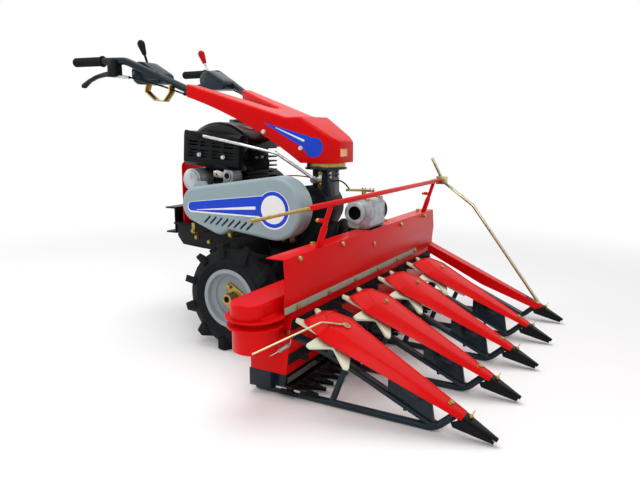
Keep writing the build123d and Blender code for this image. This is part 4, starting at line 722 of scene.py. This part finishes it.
# %% Straps under the belt cover
STRAP_XS = (-277, -86)
STRAP_WIDTH = 16
STRAP_SHEET = 4
STRAP_TOP_Z = 458
STRAP_FOOT_Z = 412
STRAP_BOLT_Z = 426
COVER_BACK_Y = -241.5
straps = []
for x in STRAP_XS:
    span = (x - STRAP_WIDTH / 2, x + STRAP_WIDTH / 2)
    foot = box_corners(span, (STRAP_FOOT_Z, STRAP_FOOT_Z + STRAP_SHEET))
    straps.append(cut_plate(foot, COVER_BACK_Y, -plate_face_y))
    leg = box_corners(span, (STRAP_FOOT_Z, STRAP_TOP_Z))
    straps.append(cut_plate(leg, COVER_BACK_Y, COVER_BACK_Y + STRAP_SHEET))
take(*straps)
bpy.ops.object.join()
round_edges(0.8)
settle("cover_straps", [yellow_zinc], "tractor")
strap_bolts = [((x, COVER_BACK_Y, STRAP_BOLT_Z), (0, -1, 0)) for x in STRAP_XS]
copies(bolt_m8, "strap_bolts", strap_bolts, yellow_zinc, "tractor")
print("straps at", STRAP_XS)

# %% Muffler box and carburettor
ENGINE_SIDE_Y = -108.5
cut_plate(box_corners((-332, -100), (692, 760)), -194, -109)
round_edges(14, 4)
settle("muffler_box", [black_casting], "tractor")
cut_plate(box_corners((-300, -204), (614, 690)), -128, ENGINE_SIDE_Y)
round_edges(6, 3)
settle("air_duct", [black_nylon], "tractor")

CARBURETTOR = [(-170, 618), (-126, 618), (-118, 640), (-122, 676), (-166, 680), (-174, 650)]
CARBURETTOR_FACE_Y = -172
INTAKE_CENTRE = (-146, 652)
cut_plate(CARBURETTOR, CARBURETTOR_FACE_Y, ENGINE_SIDE_Y)
round_edges(5, 3)
settle("carburettor", [cast_alloy], "tractor")
intake = plane_at(spot(0, CARBURETTOR_FACE_Y, 0), (1, 0, 0), (0, 0, 1))
film("intake_ring", [[(*INTAKE_CENTRE, 17)]], 6, intake, cast_alloy, "tractor")
# A flat black disc over the intake ring's centre is painted shade, standing for the dark inside of the intake
# bore.
film("painted_shade_intake_bore", [[(*INTAKE_CENTRE, 12.5)]], 6.6, intake, grip_rubber, "tractor")

GOVERNOR = [(-230, 644), (-168, 640), (-168, 662), (-206, 672), (-230, 668)]
GOVERNOR_FACE_Y = -160
cut_plate(GOVERNOR, GOVERNOR_FACE_Y, GOVERNOR_FACE_Y + 3)
round_edges(0.8)
settle("governor_plate", [bright_zinc], "tractor")
governor_screws = [((x, GOVERNOR_FACE_Y, z), (0, -1, 0)) for x, z in ((-218, 656), (-182, 652))]
copies(bolt_m6, "governor_screws", governor_screws, brass, "tractor")
STUD_XS = (-296, -262, -206, -84)
STUD_FOOT = (-119, 612)
crankcase_studs = [((x, *STUD_FOOT), (0, 0, 1)) for x in STUD_XS]
copies(bolt_m8, "crankcase_studs", crankcase_studs, bright_zinc, "tractor")

THROTTLE = [(-92, 752), (-92, 690), (-44, 672), (6, 684), (10, 716), (-36, 752)]
THROTTLE_FACE_Y = -101
cut_plate(THROTTLE, THROTTLE_FACE_Y, THROTTLE_FACE_Y + PLATE_SHEET)
round_edges(1.5)
settle("throttle_plate", [black_nylon], "tractor")
throttle_screws = [((x, THROTTLE_FACE_Y, z), (0, -1, 0)) for x, z in ((-52, 724), (-24, 728))]
copies(bolt_m6, "throttle_screws", throttle_screws, bright_zinc, "tractor")
print("muffler box and carburettor in place")

# %% [markdown]
# ## Levers, wires and a spring
# The header's clutch is worked by a short plated lever on its gearbox, pulled by a cable from the column. A
# wire is a path of five points given a round section and turned into a mesh. The tension spring at the
# header's end is one small ring of points wound up by a Screw modifier.

# %% Lever and cable on the gearbox


def wire_mesh(points, radius_mm, kind="NURBS"):
    """A round wire along five points in mm, smooth or with corners, left active."""
    fresh()
    bpy.ops.curve.primitive_nurbs_path_add(location=(0, 0, 0))
    wire = bpy.context.object
    wire.data.splines[0].type = kind
    for control, point in zip(wire.data.splines[0].points, points):
        control.co = (*spot(*point), 1)
    wire.data.bevel_depth = radius_mm * MM
    wire.data.use_fill_caps = True
    bpy.ops.object.convert(target="MESH")
    return bpy.context.object


def bent_wire(name, points, radius_mm, finish, body):
    """A smooth wire along five points in mm, finished."""
    wire_mesh(points, radius_mm)
    return settle(name, [finish], body, 50)


LEVER_Z = 606
LEVER_HALF = 4
PIVOT = (392, -18)
LEVER_TIP = (430, -30)
POST_Z = 588
lever_plane = plane_at(spot(0, 0, LEVER_Z), (1, 0, 0), (0, 1, 0))
lever_arms = [[(336, -38, 11), (*PIVOT, 16)], [(*PIVOT, 16), (*LEVER_TIP, 11)]]
film("clutch_lever", lever_arms, LEVER_HALF, lever_plane, yellow_zinc, "tractor")
post_plane = plane_at(spot(0, 0, POST_Z), (1, 0, 0), (0, 1, 0))
film("clutch_post", [[(*PIVOT, 9)]], 16, post_plane, yellow_zinc, "tractor")
lever_bolts = [((*place, LEVER_Z + LEVER_HALF), (0, 0, 1)) for place in (PIVOT, LEVER_TIP)]
copies(bolt_m8, "lever_bolts", lever_bolts, bright_zinc, "tractor")
GEARBOX_TOP_Z = 572
gearbox_bolts = [((x, y, GEARBOX_TOP_Z), (0, 0, 1)) for x in (362, 430) for y in (-66, 56)]
copies(bolt_m8, "gearbox_bolts", gearbox_bolts, yellow_zinc, "tractor")

LINK_Y = -52
LINK_HALF = 2.5
CLEVIS_HALF = 4
link_plane = plane_at(spot(0, LINK_Y, 0), (1, 0, 0), (0, 0, 1))
film("shift_link", [[(219, 668, 7), (217, 638, 7)]], LINK_HALF, link_plane, bright_zinc, "tractor")
film("shift_clevis", [[(217, 624, 8), (217, 574, 10)]], CLEVIS_HALF, link_plane, yellow_zinc, "tractor")
link_bolts = [((219, LINK_Y - LINK_HALF, 668), (0, -1, 0))]
link_bolts += [((217, LINK_Y - CLEVIS_HALF, z), (0, -1, 0)) for z in (624, 576)]
copies(bolt_m6, "link_bolts", link_bolts, brass, "tractor")

RED_LEAD = [(-63, -100, 598), (20, -112, 652), (110, -112, 672), (180, -84, 656), (206, -48, 642)]
CLUTCH_CABLE = [(248, -8, 632), (276, -12, 645), (306, -22, 640), (326, -34, 622), (338, -38, 609)]
bent_wire("red_lead", RED_LEAD, 2.5, red_plastic, "tractor")
bent_wire("clutch_cable", CLUTCH_CABLE, 3, grip_rubber, "tractor")
print("clutch lever with", len(lever_bolts), "bolts, shift link and two wires")

# %% Clamp bolts on the posts
CLAMP_YS = (-460, 530)
CLAMP_Z = 548
NUB_X = 449
NUB_HALF = 8
NUB_RADIUS = 7
for y, word in zip(CLAMP_YS, ("right", "left")):
    nub = plane_at(spot(NUB_X, y, CLAMP_Z), (0, -1, 0), (0, 0, 1))
    film(f"clamp_nub_{word}", [[(0, 0, NUB_RADIUS)]], NUB_HALF, nub, red_enamel, "tractor")
bolt_small = hex_bolt(10, 7, 11)
clamp_bolts = [((NUB_X - NUB_HALF, y, CLAMP_Z), (-1, 0, 0)) for y in CLAMP_YS]
copies(bolt_small, "post_clamp_bolts", clamp_bolts, yellow_zinc, "tractor")
bpy.data.objects.remove(bolt_small)
BAR_TOP = (486, 613)
bar_bolts = [((BAR_TOP[0], y, BAR_TOP[1]), (0, 0, 1)) for y in (512, 556)]
copies(bolt_m6, "bar_bolts", bar_bolts, bright_zinc, "tractor")
print("clamp bolts on", len(CLAMP_YS), "posts")

# %% Spring at the header's end
SPRING_START = (398, -637, 158)
SPRING_END = (434, -637, 186)
SPRING_RADIUS = 6
SPRING_WIRE = 1.5
SPRING_TURNS = 9
SPRING_STEPS = 18
LOW_HOOK = [SPRING_START, (388, -640, 150), (372, -640, 140), (362, -636, 134), (358, -631, 132)]
HIGH_HOOK = [SPRING_END, (440, -641, 190), (446, -641, 197), (441, -637, 202), (436, -631, 203)]
fresh()
bpy.ops.mesh.primitive_circle_add(vertices=10, radius=SPRING_WIRE * MM, location=(SPRING_RADIUS * MM, 0, 0),
                                  rotation=(radians(90), 0, 0))
spring = bpy.context.object
bpy.ops.object.transform_apply(location=True, rotation=True)
spring_aim = Vector(SPRING_END) - Vector(SPRING_START)
wind = spring.modifiers.new("wind", "SCREW")
wind.screw_offset = spring_aim.length / SPRING_TURNS * MM
wind.iterations = SPRING_TURNS
wind.steps = SPRING_STEPS
wind.render_steps = SPRING_STEPS
bpy.ops.object.modifier_apply(modifier=wind.name)
bpy.ops.object.mode_set(mode="EDIT")
bpy.ops.mesh.select_all(action="SELECT")
bpy.ops.mesh.fill_holes(sides=0)
bpy.ops.mesh.normals_make_consistent(inside=False)
bpy.ops.object.mode_set(mode="OBJECT")
spring.location = spot(*SPRING_START)
spring.rotation_euler = spring_aim.to_track_quat("Z", "Y").to_euler()
settle("tension_spring", [bright_zinc], "tractor", 60)
bent_wire("spring_hook_low", LOW_HOOK, SPRING_WIRE, bright_zinc, "tractor")
bent_wire("spring_hook_high", HIGH_HOOK, SPRING_WIRE, bright_zinc, "tractor")
print("spring with", SPRING_TURNS, "turns")

# %% Wear bar on the right skid
WEAR_BAR_X = (382, 470)
WEAR_BAR_Y = (-634, -624)
WEAR_BAR_Z = (33, 40)
cut_plate(box_corners(WEAR_BAR_X, WEAR_BAR_Z), *WEAR_BAR_Y)
round_edges(1)
settle("wear_bar", [bright_zinc], "tractor")
print("wear bar", WEAR_BAR_X[1] - WEAR_BAR_X[0], "mm long")

# %% [markdown]
# ## Flaps and beads on the dividers
# Each divider tip has a thin flap down both sides, which parts the crop below the cover, and the four covers
# over star wheels have a bead pressed along their edges. Both are modelled on the first divider and repeated
# with an Array modifier along the header. A wing bolt holds each tip to its cover.

# %% Flaps and beads
FLAP = [(416, 6), (512, 12), (513, 20), (404, 44), (392, 34)]
FLAP_SHEET = 2
FLAP_REAR_Y = 19
FLAP_FRONT_Y = 8
BEAD = [(-65, 1), (-65, 20), (-18, 55), (200, 34), (408, 14)]
BEAD_RADIUS = 1.6


def below_cover(distance, drop):
    """The (x, z) place this far down square to a cover's top."""
    x, _, z = on_cover(distance, 0)
    return (x - drop * sin(COVER_SLOPE), z - drop * cos(COVER_SLOPE))


def along_header(pieces, count):
    """Join the pieces into one and repeat it from divider to divider."""
    take(*pieces)
    bpy.ops.object.join()
    row = bpy.context.object.modifiers.new("row", "ARRAY")
    row.use_relative_offset = False
    row.use_constant_offset = True
    row.constant_offset_displace = (0, (DIVIDER_YS[1] - DIVIDER_YS[0]) * MM, 0)
    row.count = count
    bpy.ops.object.modifier_apply(modifier=row.name)


rear_x, front_x = below_cover(*FLAP[0])[0], below_cover(*FLAP[1])[0]
flaps, beads = [], []
for side in (-1, 1):
    middle_y = DIVIDER_YS[0]
    flap = cut_plate([below_cover(*corner) for corner in FLAP], middle_y, middle_y + side * FLAP_SHEET)
    for vertex in flap.data.vertices:
        share = ((vertex.co - spot(0, 0, 0)).x / MM - rear_x) / (front_x - rear_x)
        vertex.co.y += side * (FLAP_REAR_Y + share * (FLAP_FRONT_Y - FLAP_REAR_Y)) * MM
    flaps.append(flap)
    beads.append(wire_mesh([on_cover(x, middle_y + side * y) for x, y in BEAD], BEAD_RADIUS, "POLY"))
along_header(flaps, len(DIVIDER_YS))
settle("tip_flaps", [black_enamel], "tractor")
along_header(beads, len(DIVIDER_YS) - 1)
settle("cover_beads", [red_enamel], "tractor", 50)
print("flaps on", len(DIVIDER_YS), "tips, beads on", len(DIVIDER_YS) - 1, "covers")

# %% Wing bolts on the tips
BOSS_RADIUS = 6.5
BOSS_HEIGHT = 9
WING_RADIUS = 8
WING_SHEET = 3
WING_CENTRE = (11, 12)
WING_BOLT_AHEAD = 15
fresh()
bpy.ops.mesh.primitive_cylinder_add(vertices=24, radius=BOSS_RADIUS * MM, depth=BOSS_HEIGHT * MM,
                                    location=(0, 0, BOSS_HEIGHT / 2 * MM))
boss = bpy.context.object
round_edges(1.2)
wings = []
for side in (-1, 1):
    fresh()
    bpy.ops.mesh.primitive_cylinder_add(vertices=20, radius=WING_RADIUS * MM, depth=WING_SHEET * MM,
                                        rotation=(radians(90), 0, 0),
                                        location=(side * WING_CENTRE[0] * MM, 0, WING_CENTRE[1] * MM))
    round_edges(1.2)
    wings.append(bpy.context.object)
take(*wings, boss)
bpy.ops.object.join()
bpy.ops.object.transform_apply(location=True, rotation=True)
wing_bolt = bpy.context.object
wing_bolts = [(on_cover(COVER_LENGTH + WING_BOLT_AHEAD, y), cover_up) for y in DIVIDER_YS]
copies(wing_bolt, "wing_bolts", wing_bolts, yellow_zinc, "tractor")
for pattern in (bolt_m10, bolt_m8, bolt_m6, wing_bolt):
    bpy.data.objects.remove(pattern)
print("wing bolts on", len(wing_bolts), "tips")

# %% [markdown]
# ## Ribbed grips
# The grips are soft rubber sleeves with rings for the hand and a collar at the front. One ring of points is
# extruded along the grip and resized at every step, which turns a short list of radii into the whole sleeve.

# %% Grips
GRIP_FRONT = (-653, 323.0, 1112.2)
GRIP_REAR = (-806, 337, 1114)
GRIP_COLLAR = 22.5
GRIP_MOUTH = 15.6
RIB_TOP = 18.8
RIB_ROOT = 17.2
RIB_PITCH = 8.0
RIBS_FROM = 8
grip_start, grip_end = (Vector(place) for place in (GRIP_FRONT, GRIP_REAR))
grip_length = (grip_end - grip_start).length
rib_count = int((grip_length - 2 * RIBS_FROM) / RIB_PITCH)
profile = [(0, GRIP_MOUTH), (0, GRIP_COLLAR), (5, GRIP_COLLAR), (7, RIB_ROOT)]
for index in range(rib_count):
    start = RIBS_FROM + index * RIB_PITCH
    profile.append((start + 0.12 * RIB_PITCH, RIB_TOP))
    profile.append((start + 0.62 * RIB_PITCH, RIB_TOP))
    profile.append((start + 0.8 * RIB_PITCH, RIB_ROOT))
profile += [(grip_length - 6, RIB_TOP), (grip_length - 2, RIB_TOP - 2), (grip_length, RIB_TOP - 6)]
sleeves = []
for side in (-1, 1):
    fresh()
    bpy.ops.mesh.primitive_circle_add(vertices=32, radius=profile[0][1] * MM)
    sleeve = bpy.context.object
    bpy.ops.object.mode_set(mode="EDIT")
    bpy.ops.mesh.select_all(action="SELECT")
    for (low, radius), (high, next_radius) in zip(profile, profile[1:]):
        bpy.ops.mesh.extrude_region_move(TRANSFORM_OT_translate={"value": (0, 0, (high - low) * MM)})
        ratio = next_radius / radius
        bpy.ops.transform.resize(value=(ratio, ratio, 1))
    bpy.ops.mesh.fill()
    bpy.ops.mesh.select_all(action="SELECT")
    bpy.ops.mesh.normals_make_consistent(inside=False)
    bpy.ops.object.mode_set(mode="OBJECT")
    aim = grip_end - grip_start
    aim.y *= side
    sleeve.location = spot(GRIP_FRONT[0], side * GRIP_FRONT[1], GRIP_FRONT[2])
    sleeve.rotation_euler = aim.to_track_quat("Z", "Y").to_euler()
    sleeves.append(sleeve)
take(*sleeves)
bpy.ops.object.join()
ribbed_grips = settle("ribbed_grips", [grip_rubber], "handlebar", 50)
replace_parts(ribbed_grips, "grips")
print("grips with", rib_count, "ribs each")

# %% [markdown]
# ## Reflector on the hood
# An amber reflector sits on the hood's front face: a shallow block with rounded edges, and a rim that is
# left standing when its front face is inset.

# %% Reflector
REFLECTOR_CENTRE = (306, -25, 748)
REFLECTOR_SIZE = (4, 56, 30)
fresh()
bpy.ops.mesh.primitive_cube_add(size=1, location=spot(*REFLECTOR_CENTRE))
reflector = bpy.context.object
reflector.scale = [size * MM for size in REFLECTOR_SIZE]
bpy.ops.object.transform_apply(location=True, rotation=True, scale=True)
round_edges(1.5)
for face in reflector.data.polygons:
    face.select = face.normal.x > 0.9
bpy.ops.object.mode_set(mode="EDIT")
bpy.ops.mesh.inset(thickness=2 * MM, depth=-0.8 * MM)
settle("hood_reflector", [amber], "handlebar")
print("reflector", REFLECTOR_SIZE, "mm")

# %% [markdown]
# ## Studio
# The machine stands on a plain pale floor under large soft lamps, as in a catalogue picture. The floor is
# almost white and the world behind it is white to the camera and to reflections, while the light that
# falls on the paint stays at a plain level.

# %% Floor and world
FLOOR_RADIUS = 14
FADE_FROM = 1.5
FADE_TO = 3.6
WORLD_LIGHT = 0.38
fresh()
bpy.ops.mesh.primitive_circle_add(vertices=96, radius=FLOOR_RADIUS, fill_type="NGON", location=(0, 0, -0.001))
floor = bpy.context.object
floor.name = "studio_floor"
floor_finish, floor_tree, floor_place = new_finish("matt_studio_floor")
matt = add_node(floor_tree, "ShaderNodeBsdfDiffuse", {"Color": linear("#FDFDFD")})
white = add_node(floor_tree, "ShaderNodeEmission", {"Color": linear("#FFFFFF"), "Strength": 1.0})
distance = add_node(floor_tree, "ShaderNodeVectorMath", {0: floor_place}, operation="LENGTH")
fade = add_node(floor_tree, "ShaderNodeMapRange", {"Value": distance.outputs["Value"], "From Min": FADE_FROM,
                                                   "From Max": FADE_TO}, interpolation_type="SMOOTHSTEP")
floor_path = add_node(floor_tree, "ShaderNodeLightPath")
floor_seen = add_node(floor_tree, "ShaderNodeMath", {0: floor_path.outputs["Is Camera Ray"],
                                                     1: floor_path.outputs["Is Glossy Ray"]}, operation="ADD")
floor_seen = add_node(floor_tree, "ShaderNodeMath", {0: floor_seen.outputs[0],
                                                     1: floor_path.outputs["Is Transmission Ray"]},
                      operation="ADD", use_clamp=True)
share = add_node(floor_tree, "ShaderNodeMath", {0: fade.outputs[0], 1: floor_seen.outputs[0]},
                 operation="MULTIPLY")
blend = add_node(floor_tree, "ShaderNodeMixShader", {0: share.outputs[0], 1: matt.outputs[0],
                                                     2: white.outputs[0]})
add_node(floor_tree, "ShaderNodeOutputMaterial", {"Surface": blend.outputs[0]})
floor.data.materials.append(floor_finish)

world = bpy.data.worlds.new("studio_world")
bpy.context.scene.world = world
world.use_nodes = True
sky = world.node_tree
sky.nodes.clear()
path = add_node(sky, "ShaderNodeLightPath")
seen = add_node(sky, "ShaderNodeMath", {0: path.outputs["Is Camera Ray"], 1: path.outputs["Is Glossy Ray"]},
                operation="ADD")
seen = add_node(sky, "ShaderNodeMath", {0: seen.outputs[0], 1: path.outputs["Is Transmission Ray"]},
                operation="ADD", use_clamp=True)
level = add_node(sky, "ShaderNodeMapRange", {"Value": seen.outputs[0], "To Min": WORLD_LIGHT, "To Max": 1.0})
glow = add_node(sky, "ShaderNodeBackground", {"Color": linear("#FFFFFF"), "Strength": level.outputs[0]})
add_node(sky, "ShaderNodeOutputWorld", {"Surface": glow.outputs[0]})
print("floor radius", FLOOR_RADIUS, "m, world light", WORLD_LIGHT)

# %% Lamps
# Each row: name, place in metres, size in metres, power in watts.
LAMPS = [
    ("key_softbox", (1.8, -3.2, 3.2), 2.4, 66),
    ("top_softbox", (-0.2, 0.4, 4.2), 3.4, 104),
    ("side_softbox", (-3.4, -1.6, 2.2), 2.0, 35),
]
LAMP_TARGET = (0, 0, 0.5)
for name, place, size, power in LAMPS:
    fresh()
    bpy.ops.object.light_add(type="AREA", location=place)
    lamp = bpy.context.object
    lamp.name = name
    lamp.data.size = size
    lamp.data.energy = power
    lamp.rotation_euler = (Vector(LAMP_TARGET) - Vector(place)).to_track_quat("-Z", "Y").to_euler()
print("lamps", [row[0] for row in LAMPS])

# %% [markdown]
# ## Camera
# The photograph was taken from the machine's right front, at about the height of the hood. Distance, height
# and lens were found by matching the wheels, the divider tips and the hood in the picture.

# %% Camera
CAMERA_PLACE = (1381, -2131, 830)
LOOK_AZIMUTH = 119.267
LOOK_ELEVATION = -10.214
FOCAL_PIXELS = 603.44
PICTURE_WIDTH = 640
SENSOR_WIDTH = 36.0
fresh()
bpy.ops.object.camera_add(location=spot(*CAMERA_PLACE))
camera = bpy.context.object
camera.data.sensor_width = SENSOR_WIDTH
camera.data.lens = FOCAL_PIXELS / PICTURE_WIDTH * SENSOR_WIDTH
turn, rise = radians(LOOK_AZIMUTH), radians(LOOK_ELEVATION)
look = Vector((cos(rise) * cos(turn), cos(rise) * sin(turn), sin(rise)))
camera.rotation_euler = look.to_track_quat("-Z", "Y").to_euler()
bpy.context.scene.camera = camera
bpy.context.scene.view_settings.view_transform = "Standard"
print("lens", round(camera.data.lens, 2), "mm")
